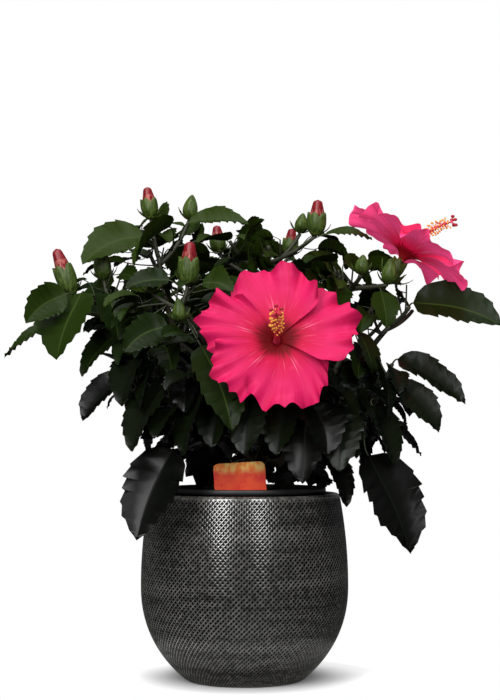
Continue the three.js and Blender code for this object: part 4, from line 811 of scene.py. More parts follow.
# space: centre and half sizes that a mass's leaves stay in. hang: how far its leaves hang, 0 to 1.
# size: a full-grown leaf's length.
MASSES = {
    "foliage_left_far": dict(
        bough="bough_left", crown=(-128, -12, 346),
        space=[(-140, -8, 334), (80, 80, 66)], hang=0.5, size=73,
        shoots=[shoot_to((-158, -20, 352), 4, bud=(-173, -21, 394), girth=9.5),
                shoot_to((-130, -8, 366), 4, bud=(-133, -8, 398), girth=8),
                shoot_to((-140, 42, 350), 6)],
        leaves=[leaf_at(0, 0.75, (-147, -40, 352), (-166, -66, 290), wide=0.42, droop=0.9),
                leaf_at(0, 0.9, (-160, -48, 350), (-193, -72, 322), wide=0.3, droop=0.8, roll=1.2),
                leaf_at(1, 0.5, (-124, -36, 352), (-112, -62, 306), wide=0.32, droop=1.1),
                leaf_at(0, 0.4, (-176, 2, 326), (-223, 4, 295), wide=0.17, droop=0.7, roll=0.5)],
    ),
    "foliage_top_left": dict(
        bough="bough_top_left", crown=(-80, 0, 388),
        space=[(-84, 6, 390), (80, 80, 52)], hang=0.15, size=66,
        shoots=[shoot_to((-87, 0, 424), 2, bud=(-91, 0, 454), girth=8),
                shoot_to((-52, 10, 424), 2, bud=(-49, 10, 448), girth=7),
                shoot_to((-92, 50, 400), 5)],
        leaves=[leaf_at(0, 0.55, (-92, -14, 406), (-147, -34, 378), wide=0.3, droop=1.1, roll=0.8),
                leaf_at(1, 0.6, (-52, -6, 420), (4, -16, 417), wide=0.22, droop=0.8, roll=-0.7)],
    ),
    "foliage_centre_left": dict(
        bough="bough_centre_left", crown=(-56, -66, 338),
        space=[(-64, -72, 338), (70, 62, 60)], hang=0.5, size=66,
        shoots=[shoot_to((-50, -70, 356), 4, bud=(-48, -71, 395), girth=9.5),
                shoot_to((-82, -52, 350), 4, bud=(-86, -54, 374), girth=6.5),
                shoot_to((-56, -92, 322), 4, bud=(-57, -96, 342), girth=6)],
        leaves=[leaf_at(2, 0.7, (-66, -94, 318), (-103, -112, 294), wide=0.3, droop=1.0, roll=1.2),
                leaf_at(0, 0.7, (-66, -76, 360), (-104, -84, 352), wide=0.3, droop=0.9, roll=0.8),
                leaf_at(2, 0.3, (-38, -84, 302), (-10, -112, 226), wide=0.24, droop=0.6, roll=-0.4)],
    ),
    "foliage_left_low": dict(
        bough="bough_low_left", crown=(-72, -50, 258),
        space=[(-82, -46, 246), (70, 84, 92)], hang=0.9, size=90,
        shoots=[shoot_to((-104, -34, 292), 6), shoot_to((-100, -66, 264), 6),
                shoot_to((-60, -88, 250), 6), shoot_to((-92, 14, 258), 6),
                shoot_to((-66, -60, 226), 4)],
        leaves=[leaf_at(2, 0.6, (-62, -88, 212), (-92, -108, 134), wide=0.3, droop=0.5, roll=0.6),
                leaf_at(0, 0.8, (-112, -34, 318), (-146, -44, 276), wide=0.24, droop=0.8, roll=0.6),
                leaf_at(1, 0.8, (-106, -58, 276), (-143, -66, 236), wide=0.3, droop=0.8, roll=0.6),
                leaf_at(2, 0.9, (-72, -90, 268), (-96, -112, 210), wide=0.32, droop=0.8)],
    ),
    "foliage_front_low": dict(
        bough="bough_low_front", crown=(-14, -58, 246),
        space=[(-16, -70, 262), (72, 58, 58)], hang=0.8, size=79,
        shoots=[shoot_to((-36, -74, 272), 7), shoot_to((4, -78, 268), 7),
                shoot_to((-14, -52, 262), 5)],
        leaves=[leaf_at(0, 0.9, (-38, -88, 264), (-52, -108, 206), wide=0.3, droop=0.7, roll=-0.4),
                leaf_at(1, 0.5, (-16, -80, 268), (-28, -100, 212), wide=0.3, droop=0.8),
                leaf_at(1, 0.9, (6, -84, 262), (0, -106, 206), wide=0.3, droop=0.7)],
    ),
    "foliage_centre_low": dict(
        bough="bough_low_centre", crown=(56, -60, 238),
        space=[(64, -66, 234), (50, 58, 72)], hang=0.9, size=81,
        shoots=[shoot_to((40, -72, 262), 6), shoot_to((86, -72, 252), 6),
                shoot_to((52, -80, 236), 6), shoot_to((66, -58, 218), 5)],
        leaves=[leaf_at(1, 0.6, (74, -84, 206), (88, -98, 162), wide=0.3, droop=0.6),
                leaf_at(0, 0.9, (34, -80, 258), (28, -102, 206), wide=0.3, droop=0.8),
                leaf_at(2, 0.9, (54, -88, 240), (50, -106, 182), wide=0.3, droop=0.7),
                leaf_at(1, 0.9, (84, -82, 250), (82, -106, 192), wide=0.3, droop=0.7),
                leaf_at(3, 0.8, (38, -66, 200), (74, -80, 186), wide=0.24, droop=0.6, roll=1.0)],
    ),
    "foliage_top_centre": dict(
        bough="bough_top_centre", crown=(20, 18, 384),
        space=[(18, 6, 386), (84, 74, 50)], hang=0.25, size=68,
        shoots=[shoot_to((66, -6, 408), 4, bud=(68, -8, 441), girth=9),
                shoot_to((52, 14, 412), 2, bud=(55, 12, 431), girth=6),
                shoot_to((-14, 4, 404), 5), shoot_to((22, -22, 396), 5),
                shoot_to((18, 50, 408), 5)],
        leaves=[leaf_at(0, 0.55, (74, -17, 408), (117, -23, 402), wide=0.24, droop=0.8, roll=-0.4),
                leaf_at(2, 0.6, (-16, -14, 402), (-42, -46, 396), wide=0.32, droop=0.9)],
    ),
    "foliage_top_right": dict(
        bough="bough_top_right", crown=(98, -34, 358),
        space=[(100, -36, 358), (64, 66, 54)], hang=0.4, size=64,
        shoots=[shoot_to((104, -60, 366), 4, bud=(106, -62, 384), girth=6),
                shoot_to((128, -52, 358), 4, bud=(132, -54, 382), girth=6.5),
                shoot_to((84, -40, 372), 5), shoot_to((110, 22, 376), 5)],
        leaves=[leaf_at(2, 0.8, (78, -54, 378), (54, -84, 374), wide=0.34, droop=0.9),
                leaf_at(1, 0.75, (122, -56, 352), (126, -66, 318), wide=0.36, droop=0.8)],
    ),
    "foliage_right": dict(
        bough="bough_right", crown=(134, -14, 324),
        space=[(138, -2, 330), (88, 84, 44)], hang=0.5, size=77,
        shoots=[shoot_to((150, -30, 340), 4), shoot_to((158, 22, 340), 5),
                shoot_to((118, -44, 318), 4)],
        leaves=[leaf_at(0, 0.95, (154, -22, 344), (232, -40, 322), wide=0.26, droop=0.8, roll=-0.9),
                leaf_at(2, 0.7, (102, -56, 316), (114, -66, 274), wide=0.3, droop=0.8)],
    ),
    "foliage_right_low": dict(
        bough="bough_low_right", crown=(112, -34, 256),
        space=[(118, -28, 228), (78, 84, 84)], hang=0.9, size=83,
        shoots=[shoot_to((134, -34, 288), 4), shoot_to((136, -58, 262), 4),
                shoot_to((112, -76, 240), 4), shoot_to((138, 18, 250), 5)],
        leaves=[leaf_at(0, 0.95, (138, -38, 292), (198, -46, 251), wide=0.24, droop=0.6, roll=-0.7),
                leaf_at(1, 0.9, (136, -60, 270), (171, -72, 226), wide=0.28, droop=0.7, roll=-0.7),
                leaf_at(3, 0.7, (128, -2, 240), (163, 0, 204), wide=0.18, droop=0.5, roll=-0.5),
                leaf_at(1, 0.6, (112, -78, 250), (130, -94, 198), wide=0.32, droop=0.6),
                leaf_at(2, 0.7, (108, -84, 206), (143, -98, 122), wide=0.32, droop=0.5, roll=-0.6)],
    ),
    "foliage_back_left": dict(
        bough="bough_back_left", crown=(-74, 92, 318),
        space=[(-80, 106, 306), (84, 92, 96)], hang=0.6, size=83,
        shoots=[shoot_to((-126, 80, 344), 6), shoot_to((-92, 136, 342), 6),
                shoot_to((-56, 112, 368), 5), shoot_to((-112, 108, 284), 6)],
        leaves=[],
    ),
    "foliage_back_right": dict(
        bough="bough_back_right", crown=(104, 92, 308),
        space=[(92, 106, 298), (76, 92, 96)], hang=0.6, size=83,
        shoots=[shoot_to((136, 76, 336), 6), shoot_to((108, 136, 338), 6),
                shoot_to((82, 108, 362), 5), shoot_to((128, 104, 272), 6)],
        leaves=[],
    ),
    "foliage_back_top": dict(
        bough="bough_back_top", crown=(12, 96, 378),
        space=[(12, 104, 376), (84, 80, 54)], hang=0.3, size=71,
        shoots=[shoot_to((-26, 94, 402), 5, bud=(-28, 95, 430), girth=8),
                shoot_to((44, 102, 400), 5, bud=(47, 104, 428), girth=8),
                shoot_to((10, 146, 388), 6)],
        leaves=[],
    ),
    "foliage_low_back": dict(
        bough="bough_low_back", crown=(14, 92, 244),
        space=[(12, 108, 234), (92, 80, 84)], hang=0.9, size=88,
        shoots=[shoot_to((-50, 110, 258), 6), shoot_to((14, 136, 268), 6),
                shoot_to((68, 114, 250), 6), shoot_to((6, 118, 232), 4)],
        leaves=[],
    ),
}

STEM = {"foot": 2.6, "crown": 2.2, "tip": 1.8, "shoot_step": 0.16}
LEAF = {"stalk": 0.26, "stalk_radius": 0.85, "full": 60}
LEAF_ROWS = [0.02, 0.26, 0.66, 0.99]
CLEAR_OF_TWIG = 4.4  # where a stalk is clear of its own twig
STALK_WAY = {"along": 0.35, "up": 0.12}  # how a stalk leans off its twig, along it and upwards
OUTWARD = 0.75  # how far leaves head for the light outside the crown
LEAN = 0.8  # how far their faces lean out to it
TRIES = 12  # how often a leaf is turned on before it is left out


def seeded(seed):
    """The same numbers from the same seed, each between 0 and 1."""
    state = seed
    while True:
        state = state * 48271 % 2147483647
        yield state / 2147483647


def leaf_line(leaf, u):
    """Middle, along, across and face at each u. The leaf sets out at its rise above the level and
    bends down evenly by its droop, and its face is rolled and twisted about the middle line."""
    u = np.asarray(u, float)[:, None]
    heading, rise, length = leaf["heading"], leaf["rise"], leaf["length"]
    bend = leaf["droop"] if abs(leaf["droop"]) > 0.02 else 0.02
    out = (math.sin(rise) - np.sin(rise - bend * u)) * length / bend
    up = (np.cos(rise - bend * u) - math.cos(rise)) * length / bend
    angle = rise - leaf["droop"] * u
    along = heading * np.cos(angle) + UP * np.sin(angle)
    level = np.broadcast_to(np.cross(heading, UP), along.shape)
    face = np.cross(level, along)
    roll = leaf["roll"] + leaf["twist"] * u
    across = level * np.cos(roll) + face * np.sin(roll)
    return leaf["base"] + heading * out + UP * up, along, across, np.cross(across, along)


def half_width(leaf, u):
    """Broad in the lower third and drawn out to a point: 2.5 sqrt(u) (1 - u)^0.85."""
    u = np.asarray(u, float)
    return leaf["wide"] * leaf["length"] * 2.5 * u**0.5 * (1 - u) ** 0.85


def leaf_tests(leaf, gap):
    """Test shapes: edges and triangles of the middle surface and of the same one gap above and
    below, the stalk's edges, and the middle alone, which later leaves meet."""
    middle, _, across, face = leaf_line(leaf, LEAF_ROWS)
    reach = (across * half_width(leaf, LEAF_ROWS)[:, None])[:, None] * np.array([-1, 0, 1])[:, None]
    grids = [middle[:, None] + reach + face[:, None] * off for off in (0, gap, -gap)]
    shapes = [test_shape(grid) for grid in grids]
    clear = min(0.9, CLEAR_OF_TWIG / np.linalg.norm(leaf["base"] - leaf["stalk_from"]))
    stalk = np.stack([leaf["stalk_from"] + (leaf["base"] - leaf["stalk_from"]) * clear, leaf["base"]])
    _, _, _, first = leaf_line(leaf, [0.0])
    stalks = np.stack([stalk + first * off for off in (0, gap, -gap)])
    edges, triangles = (np.concatenate(parts) for parts in zip(*shapes))
    return edges, stalks, triangles, (np.concatenate([shapes[0][0], stalk[None]]), shapes[0][1])


def settle(leaf, twig, gap=LEAF_GAP):
    """Keeps a leaf if it crosses nothing placed before it."""
    edges, stalks, triangles, middle = leaf_tests(leaf, gap)
    if not room.free(edges, stalks, triangles, twig["owner"]):
        return False
    room.add(*middle)
    return True


def leaf_on(curve, at, turn, kind):
    """A leaf of the given kind on a twig: its stalk stands off the twig at its turn."""
    start = curve.at(at)
    way = unit(curve.off(at, turn) + STALK_WAY["along"] * curve.along(at) + STALK_WAY["up"] * UP)
    outward = unit((start[0], start[1], 0))
    heading = unit(unit((way[0], way[1], 0)) + OUTWARD * outward)
    roll = kind["roll"] - LEAN * np.cross(heading, UP) @ outward
    return dict(kind, roll=roll, stalk_from=start, base=start + way * kind["stalk"], heading=heading)


def leaf_to(curve, spec):
    """A leaf drawn from its base to a named tip: the droop bends the line between them."""
    base, tip = np.array(spec["base"], float), np.array(spec["tip"], float)
    reach = tip - base
    level, droop = math.hypot(reach[0], reach[1]), spec["droop"]
    return dict(
        stalk_from=curve.at(spec["at"]), base=base,
        heading=np.array([reach[0] / level, reach[1] / level, 0]),
        rise=math.atan2(reach[2], level) + droop / 2, droop=droop,
        length=np.linalg.norm(reach) * (droop / 2) / math.sin(droop / 2),
        wide=spec["wide"], roll=spec["roll"], twist=0, up=0.4,
    )


# The crown's edges as they look from in front: the height, and how far the crown reaches to the
# left and to the right there. Sky shows outside them.
EYE = np.array([5.0, -1475.0, 233.0])
OUTLINE = np.array([
    [126, -92, 138], [165, -106, 138], [200, -88, 131], [222, -98, 146], [237, -134, 158],
    [259, -130, 166], [278, -124, 152], [290, -148, 130], [300, -165, 114], [318, -176, 114],
    [330, -188, 128], [345, -186, 164], [378, -178, 160], [395, -158, 152], [410, -136, 138],
    [425, -112, 108], [455, -94, 90],
], float)


def seen(points):
    """Each point carried along its line from the eye to the plane y = 0: its x and z there."""
    near = EYE[1] / (EYE[1] - points[..., 1])
    return EYE[0] + (points[..., 0] - EYE[0]) * near, EYE[2] + (points[..., 2] - EYE[2]) * near


def in_outline(points):
    """Whether every point lies between the crown's edges."""
    x, z = seen(points)
    left, right = (np.interp(z, OUTLINE[:, 0], OUTLINE[:, side]) for side in (1, 2))
    return ((z >= OUTLINE[0, 0]) & (z < OUTLINE[-1, 0]) & (x > left) & (x < right)).all()


# Blossom that leaves keep out of the way of: its middle, and how far round it they leave free.
BUD_ROOM = 17
BLOOM_ROOM = 1.15
blossom = [(np.array(bloom["centre"], float), BLOOM_ROOM * bloom["radius"])
           for bloom in BLOOMS.values()]


def hides_blossom(points):
    """Whether any point stands in front of blossom, as it looks from the eye."""
    x, z = seen(points)
    for centre, room_round in blossom:
        middle_x, middle_z = seen(centre)
        if ((points[:, 1] < centre[1]) & (np.hypot(x - middle_x, z - middle_z) < room_round)).any():
            return True
    return False


def in_space(space, leaf):
    """Whether the leaf's outer points are inside the mass's ellipsoid and the crown's edges."""
    middle = leaf_line(leaf, [0.35, 0.7, 1.0])[0]
    if (((middle - space[0]) / space[1]) ** 2).sum(1).max() >= 1:
        return False
    middle, _, across, _ = leaf_line(leaf, [*LEAF_ROWS[1:3], 1.0])
    reach = across * half_width(leaf, [*LEAF_ROWS[1:3], 1.0])[:, None]
    edges = np.concatenate([middle - reach, middle, middle + reach])
    return bool(in_outline(edges)) and not hides_blossom(edges)


def grow_stems(mass):
    """The stem from its bough's tip to the crown, and the shoots that leave it there and lower."""
    carrier = limbs[mass["bough"]][0]
    way, crown = carrier.along(1.0), np.array(mass["crown"], float)
    start = carrier.at(1.0) + way * AIR
    stem = Curve(start, start + way * np.linalg.norm(crown - start) * 0.4, crown)
    twigs = [dict(curve=stem, radius_at=even(STEM["foot"], STEM["crown"]))]
    for i, shoot in enumerate(mass["shoots"]):
        curve = limb_curve(stem.at(1 - STEM["shoot_step"] * i), shoot["to"])
        twigs.append(dict(curve=curve, radius_at=even(STEM["crown"], STEM["tip"])))
    for twig in twigs:
        twig["owner"] = add_limb(twig["curve"], twig["radius_at"])
    mass["stem"], mass["twigs"], mass["grown"] = twigs[0], twigs[1:], []
    mass["buds"] = [dict(s["bud"], base=s["to"]) for s in mass["shoots"] if s["bud"]]
    for bud in mass["buds"]:
        base, tip = np.array(bud["base"], float), np.array(bud["to"], float)
        blossom.append(((base + tip) / 2, BUD_ROOM))
        add_limb(Curve(base, (base + tip) / 2, tip), lambda t, bud=bud: bud["girth"] + 0 * t)


def fitted(space, twig, at, turn, kind, tries, step, gap=LEAF_GAP, yields=False):
    """A leaf on a twig, turned on by step while it leaves the space or crosses anything, and None
    after the given tries. One that yields shrinks and swings up and down as it is turned."""
    for again in range(tries):
        leaf = leaf_on(twig["curve"], at, turn + again * step, kind)
        if in_space(space, leaf) and settle(leaf, twig, gap):
            return leaf
        if yields:
            kind["length"] *= 0.95
            kind["rise"] += 0.22 if again % 2 else -0.2
    return None


def grow_leaves(mass, seed):
    """Low on the shoot leaves are full size and hang, near its tip they are small and stand up."""
    random = seeded(seed)
    hang = mass["hang"]
    for i, (shoot, twig) in enumerate(zip(mass["shoots"], mass["twigs"])):
        for n in range(shoot["leaves"]):
            up = (n + 0.5) / shoot["leaves"]
            length = mass["size"] * (1.1 - 0.4 * up) * (0.9 + 0.2 * next(random))
            kind = dict(
                length=length, stalk=length * (LEAF["stalk"] + 0.2 * next(random)),
                rise=0.1 + 0.45 * up - 0.55 * hang + 0.35 * next(random),
                droop=1.05 + 0.5 * next(random) + 0.2 * hang, wide=0.27 + 0.06 * next(random),
                roll=(next(random) - 0.5) * 0.9, twist=(next(random) - 0.5) * 0.6, up=up,
            )
            turn = n * GOLDEN + next(random) * 0.8 + i
            leaf = fitted(mass["space"], twig, 0.15 + 0.83 * up, turn, kind, TRIES, 0.85, yields=True)
            if leaf:
                mass["grown"].append(leaf)


YOUNG = {"count": 4, "from": 0.86, "apart": 0.04, "length": 24, "tries": 3, "gap": 0.9}
# lean and lift: how a side shoot heads along its carrier and upwards. least and more: its length,
# and what chance adds, as shares. first and apart: where its leaves stand on it.
SPRIG = {"lean": 0.6, "lift": 0.3, "length": 24, "least": 0.7, "more": 0.6,
         "leaf": 38, "first": 0.55, "apart": 0.22, "tries": 4}
SPRIGS = 3  # on each shoot
SIDE_SHOOT = {"leaves": 3, "radius": 1.0, "thinner": 0.3, "step": 1.1, "gap": 1.3}


def bear(mass, space, carrier, at, turn, sort, random, leaf_kind):
    """A thin side shoot off its carrier, with leaves a golden turn on from one to the next. It is
    kept if it bears any of them."""
    way = unit(carrier.off(at, turn) + sort["lean"] * carrier.along(at) + sort["lift"] * UP)
    start = carrier.at(at)
    end = start + way * sort["length"] * (sort["least"] + sort["more"] * next(random))
    sprig = dict(curve=limb_curve(start, end), owner=-1,
                 radius_at=lambda t: SIDE_SHOOT["radius"] - SIDE_SHOOT["thinner"] * t)
    borne = []
    for k in range(SIDE_SHOOT["leaves"]):
        kind, place = leaf_kind(k, random), sort["first"] + sort["apart"] * k
        leaf = fitted(space, sprig, place, k * GOLDEN + turn, kind, sort["tries"],
                      SIDE_SHOOT["step"], SIDE_SHOOT["gap"])
        if leaf:
            borne.append(leaf)
    if borne:
        mass["twigs"].append(sprig)
        mass["grown"].extend(borne)


def grow_young(mass, seed):
    """The finer growth that the same rule carries on to: small upright leaves round each shoot's
    tip, and short side sprigs with a few half-sized leaves, smaller from foot to tip."""

    def sprig_leaf(k, random):
        """Leaf k of a sprig."""
        length = SPRIG["leaf"] * (1.15 - 0.2 * k) * (0.85 + 0.4 * next(random))
        rise = 0.35 - 0.6 * mass["hang"] + 0.4 * next(random)
        return dict(length=length, stalk=length * 0.28, rise=rise,
                    droop=0.9 + 0.4 * next(random), wide=0.29, roll=0.7 * (next(random) - 0.5),
                    twist=0.4 * (next(random) - 0.5), up=0.6)

    random = seeded(seed)
    for i, shoot in enumerate(mass["shoots"]):
        twig = mass["twigs"][i]
        for n in range(YOUNG["count"]):
            length = YOUNG["length"] * (0.75 + 0.6 * next(random)) * (0.6 if shoot["bud"] else 1)
            kind = dict(length=length, stalk=length * 0.3, rise=0.55 + 0.5 * next(random), droop=0.7,
                        wide=0.25, roll=0.4 * (next(random) - 0.5), twist=0.2, up=1.0)
            turn = n * GOLDEN + 3 * next(random)
            at = YOUNG["from"] + YOUNG["apart"] * n
            leaf = fitted(mass["space"], twig, at, turn, kind, YOUNG["tries"], 1, YOUNG["gap"])
            if leaf:
                mass["grown"].append(leaf)
        for n in range(SPRIGS):
            turn = n * GOLDEN + 1.1 + 2 * next(random)
            bear(mass, mass["space"], twig["curve"], 0.25 + 0.25 * n, turn, SPRIG, random, sprig_leaf)


for mass in MASSES.values():
    grow_stems(mass)
for mass in MASSES.values():
    for spec in mass["leaves"]:
        twig = mass["twigs"][spec["shoot"]]
        leaf = leaf_to(twig["curve"], spec)
        if settle(leaf, twig):
            mass["grown"].append(leaf)
for number, mass in enumerate(MASSES.values()):
    grow_leaves(mass, 11 + 7 * number)
for number, mass in enumerate(MASSES.values()):
    grow_young(mass, 501 + 13 * number)

# Old leaves on short side shoots low on the boughs fill the dark room between soil and crown. They
# keep off the label and leave its face free. Each bough here has the mass that its shoots count
# as, and how many shoots it bears.
LOW = {"lean": 0.5, "lift": -0.2, "length": 30, "least": 0.6, "more": 0.8,
       "leaf": 46, "first": 0.5, "apart": 0.24, "tries": 6}
LOW_SPACE = (8, 6, 222), (100, 90, 72)
# Leaves leave free what is this far round the point this far under the label's top.
LABEL_ROOM = {"round": 30, "down": 14}
LOW_BOUGHS = {
    "bough_low_front": ("foliage_front_low", 7),
    "bough_low_left": ("foliage_left_low", 7),
    "bough_low_centre": ("foliage_centre_low", 8),
    "bough_low_right": ("foliage_right_low", 6),
    "bough_low_back": ("foliage_low_back", 7),
    "bough_left": ("foliage_left_low", 7),
    "bough_right": ("foliage_right_low", 8),
    "bough_back_left": ("foliage_back_left", 8),
    "bough_back_right": ("foliage_back_right", 8),
}
corners = np.array([vertex.co for vertex in label.data.vertices]) / MM
low, high = corners.min(0), corners.max(0)
face = np.array([[[x, low[1], z] for x in (low[0], high[0])] for z in (low[2], high[2])])
room.add(*test_shape(face))
blossom.append((face[1].mean(0) - LABEL_ROOM["down"] * UP, LABEL_ROOM["round"]))


def low_leaf(_, random):
    """A large leaf that hangs, whatever its place on the shoot."""
    length = LOW["leaf"] * (0.8 + 0.5 * next(random))
    return dict(length=length, stalk=length * 0.25, rise=0.2 - 0.9 * next(random),
                droop=0.7 + 0.4 * next(random), wide=0.3, roll=0.8 * (next(random) - 0.5),
                twist=0.4 * (next(random) - 0.5), up=0)


random = seeded(877)
for name, (bearer, count) in LOW_BOUGHS.items():
    for n in range(count):
        at, turn = 0.2 + 0.75 * n / count, n * GOLDEN + 2 * next(random)
        bear(MASSES[bearer], LOW_SPACE, limbs[name][0], at, turn, LOW, random, low_leaf)

# ---- Twigs and leaf stalks ----
# Green young wood, round and smooth, that grows on from the boughs' tips, and a thin green stalk to
# each leaf. The blooms' stalks are the same green.

twig_green = Finish("twig_green", {"Base Color": (0.02, 0.022, 0.009, 1), "Roughness": 0.6})
stalk_green = Finish("stalk_green", {"Base Color": (0.022, 0.032, 0.01, 1), "Roughness": 0.5})
heap = Heap()
for mass in MASSES.values():
    for twig in [mass["stem"], *mass["twigs"]]:
        t = np.linspace(0, 1, 10)
        add_tube(heap, twig["curve"], twig["radius_at"](t), t, 8)
    for leaf in mass["grown"]:
        start, end = leaf["stalk_from"], leaf["base"]
        sag = 0.12 * np.linalg.norm(end - start)
        _, along, _, _ = leaf_line(leaf, [0.0])
        stalk = Curve(start, end - along[0] * sag * 2.5, end + along[0] * 0.6)
        t = np.linspace(0, 1, 6)
        radius = min(1, leaf["length"] / LEAF["full"]) * LEAF["stalk_radius"] * (1.15 - 0.35 * t)
        add_tube(heap, stalk, radius, t, 5, 1)
for bloom in BLOOMS.values():
    curve, radius_at = bloom["limbs"]["stalk"]
    t = np.linspace(0, 1, 12)
    add_tube(heap, curve, radius_at(t), t, 8, 1)
heap.piece("twigs", [twig_green, stalk_green], "leaf")

# ---- Leaves ----
# Glossy, broad in the lower third, with coarse teeth that point forward, a pale midrib and blades
# that swell between sunk side veins. Young ones are fresh green and old ones darker, and on top of
# that the greens darken down the crown as painted shade, to near black low inside it.

TEETH = {"count": 6, "from": 0.2, "to": 0.95, "peak": 0.7, "out": 0.06, "forward": 0.02, "uneven": 0.8}
VEIN_AT, RIB_AT = 0.55, 0.04  # where the blade bends between midrib and margin
ACROSS = np.array([-1, -VEIN_AT, -RIB_AT, RIB_AT, VEIN_AT, 1.0])
SWELL, WAVE = 0.04, 0.018  # of the length: how deep the side veins sink, how high the margin waves


def leaf_outline():
    """u of each row, and each row's place in its tooth: 1 at a tip, -1 at a notch, 0 below them."""
    step = (TEETH["to"] - TEETH["from"]) / TEETH["count"]
    starts = TEETH["from"] + step * np.arange(TEETH["count"])
    pairs = np.stack([starts + step * TEETH["peak"], starts + step], -1).ravel()
    u = np.concatenate([[0, 0.05, 0.12, 0.2], pairs, [1]])
    return u, np.concatenate([[0, 0, 0, -1], np.tile([1, -1], TEETH["count"]), [0]])


LEAF_U, LEAF_TOOTH = leaf_outline()


def leaf_grid(leaf, fold, phase):
    """Off the flat middle surface a leaf is folded: its midrib sinks and its edges rise by
    fold (|v| - 0.45) of the half width. The side veins sink at the teeth, and the margin waves.
    The teeth differ in size along each side by a sine of their row."""
    middle, along, across, face = leaf_line(leaf, LEAF_U)
    w = half_width(leaf, LEAF_U)[:, None]
    v = ACROSS[None, :]
    edge = np.abs(v) == 1
    row = np.arange(len(LEAF_U))[:, None]
    tooth = LEAF_TOOTH[:, None] * edge * (1 + TEETH["uneven"] * np.sin(2.1 * row + phase + 2 * v))
    size = leaf["length"]
    high = w * fold * (np.abs(v) - 0.45) - SWELL * size * LEAF_TOOTH[:, None] * (np.abs(v) == VEIN_AT)
    high = high + WAVE * size * np.sin(9 * LEAF_U[:, None] + phase + 2 * v) * edge
    high = high * np.minimum(1, 6 * LEAF_U)[:, None]
    wide = w * v * (1 + TEETH["out"] * tooth)
    forward = TEETH["forward"] * size * (tooth + 0.6 * np.abs(v) * (LEAF_TOOTH[:, None] != 0))
    forward = (forward * (1 - LEAF_U[:, None]) * 1.2)[..., None]
    blade = middle[:, None] + across[:, None] * wide[..., None] + face[:, None] * high[..., None]
    return blade + along[:, None] * forward


# Each green: its colour, its roughness and how strongly it mirrors.
# The deep and dark greens and the dark rib are near black: painted shade for the lower crown.
GREENS = {
    "leaf_fresh": ((0.017, 0.031, 0.003, 1), 0.42, 0.1),
    "leaf_bright": ((0.011, 0.0225, 0.002, 1), 0.4, 0.1),
    "leaf_mid": ((0.006, 0.0125, 0.0018, 1), 0.38, 0.12),
    "leaf_deep_shade": ((0.0028, 0.005, 0.0015, 1), 0.33, 0.15),
    "leaf_dark_shade": ((0.0014, 0.0018, 0.0012, 1), 0.3, 0.16),
}
RIBS = {
    "rib_light": ((0.026, 0.043, 0.007, 1), 0.5, 0.1),
    "rib_dark_shade": ((0.003, 0.004, 0.0025, 1), 0.5, 0.1),
}
finishes = [Finish(name, {"Base Color": colour, "Roughness": rough, "Specular IOR Level": mirror})
            for name, (colour, rough, mirror) in {**GREENS, **RIBS}.items()]
heap = Heap()
random = seeded(97)
for mass in MASSES.values():
    for leaf in mass["grown"]:
        # Fresh at the top of the crown and at the shoots' ends, darker by a green every 42 mm down. The
        # shoots' ends are young growth; the darkening downwards is painted shade, for less light
        # inside.
        shade = (365 - leaf["base"][2]) / 42 + 1.5 - 1.4 * leaf["up"] + 1.2 * (next(random) - 0.5)
        tone = int(np.clip(round(shade), 0, len(GREENS) - 1))
        kinds = np.full((len(LEAF_U) - 1, len(ACROSS) - 1), tone)
        kinds[:, 2] = len(GREENS) + (tone > 2)
        fold, phase = 0.2 + 0.3 * next(random), 6 * next(random)
        heap.add(leaf_grid(leaf, fold, phase), kinds)
heap.piece("leaves", finishes, "leaf", *MASSES)

# ---- Buds ----
# Each bud stands on its shoot: a ring of narrow bracts that spread like a star, a green calyx with
# five pointed lobes, and on the ripe ones the furled petals, wound round each other to a dark tip.

BRACTS = {"count": 7, "length": 16, "width": 2.1, "keel": 1.3}
RED_BUDS = {(-173, -21, 394), (-91, 0, 454), (-48, -71, 395), (68, -8, 441), (-28, 95, 430),
            (47, 104, 428)}  # the ripe ones, by their tips
AROUND = turns(20)[None, :]
DARK_TIP_ROWS = 7


def round_line(base, tip, t, radius):
    """Points round the line from base to tip: t of the way along it and radius off it."""
    way = tip - base
    side = unit(np.cross(way, (0, 1, 0.2)))
    other = np.cross(unit(way), side)
    off = side * np.cos(AROUND)[..., None] + other * np.sin(AROUND)[..., None]
    return base + way * t[..., None] + off * radius[..., None]


def calyx_grid(base, tip, girth, top):
    """A cup up to top of the way, ribbed, its rim drawn up into five points."""
    s = np.linspace(0, 1, 13)[:, None]
    points = np.abs(np.cos(2.5 * AROUND))
    radius = girth * (0.32 + 0.68 * np.sin(np.pi * (0.06 + 0.6 * s)) ** 0.8) * (1 + 0.06 * points * s)
    return round_line(base, tip, top * s * (1 + 0.3 * points**1.5 * s**3), radius)


def closed_bud_grid(base, tip, girth):
    """The five lobes still shut: girth (0.14 + 0.86 sin(pi s^0.75)^0.8), with five keels."""
    s = np.linspace(0, 1, 16)[:, None]
    plump = 0.14 + 0.86 * np.sin(np.pi * s**0.75) ** 0.8
    keels = 0.9 + 0.16 * np.abs(np.cos(2.5 * AROUND))
    return round_line(base, tip, s + 0 * AROUND, girth * plump * keels)


def furled_grid(base, tip, girth, low):
    """The wound petals: a cone that narrows to just under half and ends round, with turning folds."""
    s = np.linspace(0, 1, 18)[:, None]
    end = np.sqrt(1 - np.clip((s - 0.86) / 0.14, 0, 1) ** 2)
    folds = 1 + 0.1 * np.sin(4 * AROUND + 3.5 * s) * np.sin(np.pi * s)
    folds = folds + 0.04 * np.sin(9 * AROUND - 4 * s)
    radius = girth * (0.86 - 0.42 * s) * end * folds
    return round_line(base, tip, low + (1 - low) * s + 0 * AROUND, radius)


def bract_grid(foot, way, out, length, width):
    """A narrow blade that sets out sideways and bends up: 0.75 sin(1.2 u) out, 0.2 u + 0.4 u^2 up."""
    u = np.linspace(0, 1, 6)[:, None]
    middle = foot + out * length * 0.75 * np.sin(1.2 * u) + way * length * (0.2 * u + 0.4 * u**2)
    across = np.cross(out, way) * width * np.sin(np.pi * np.clip(0.15 + 0.85 * u, 0, 1))
    return np.stack([middle - across, middle - way * BRACTS["keel"], middle + across], 1)


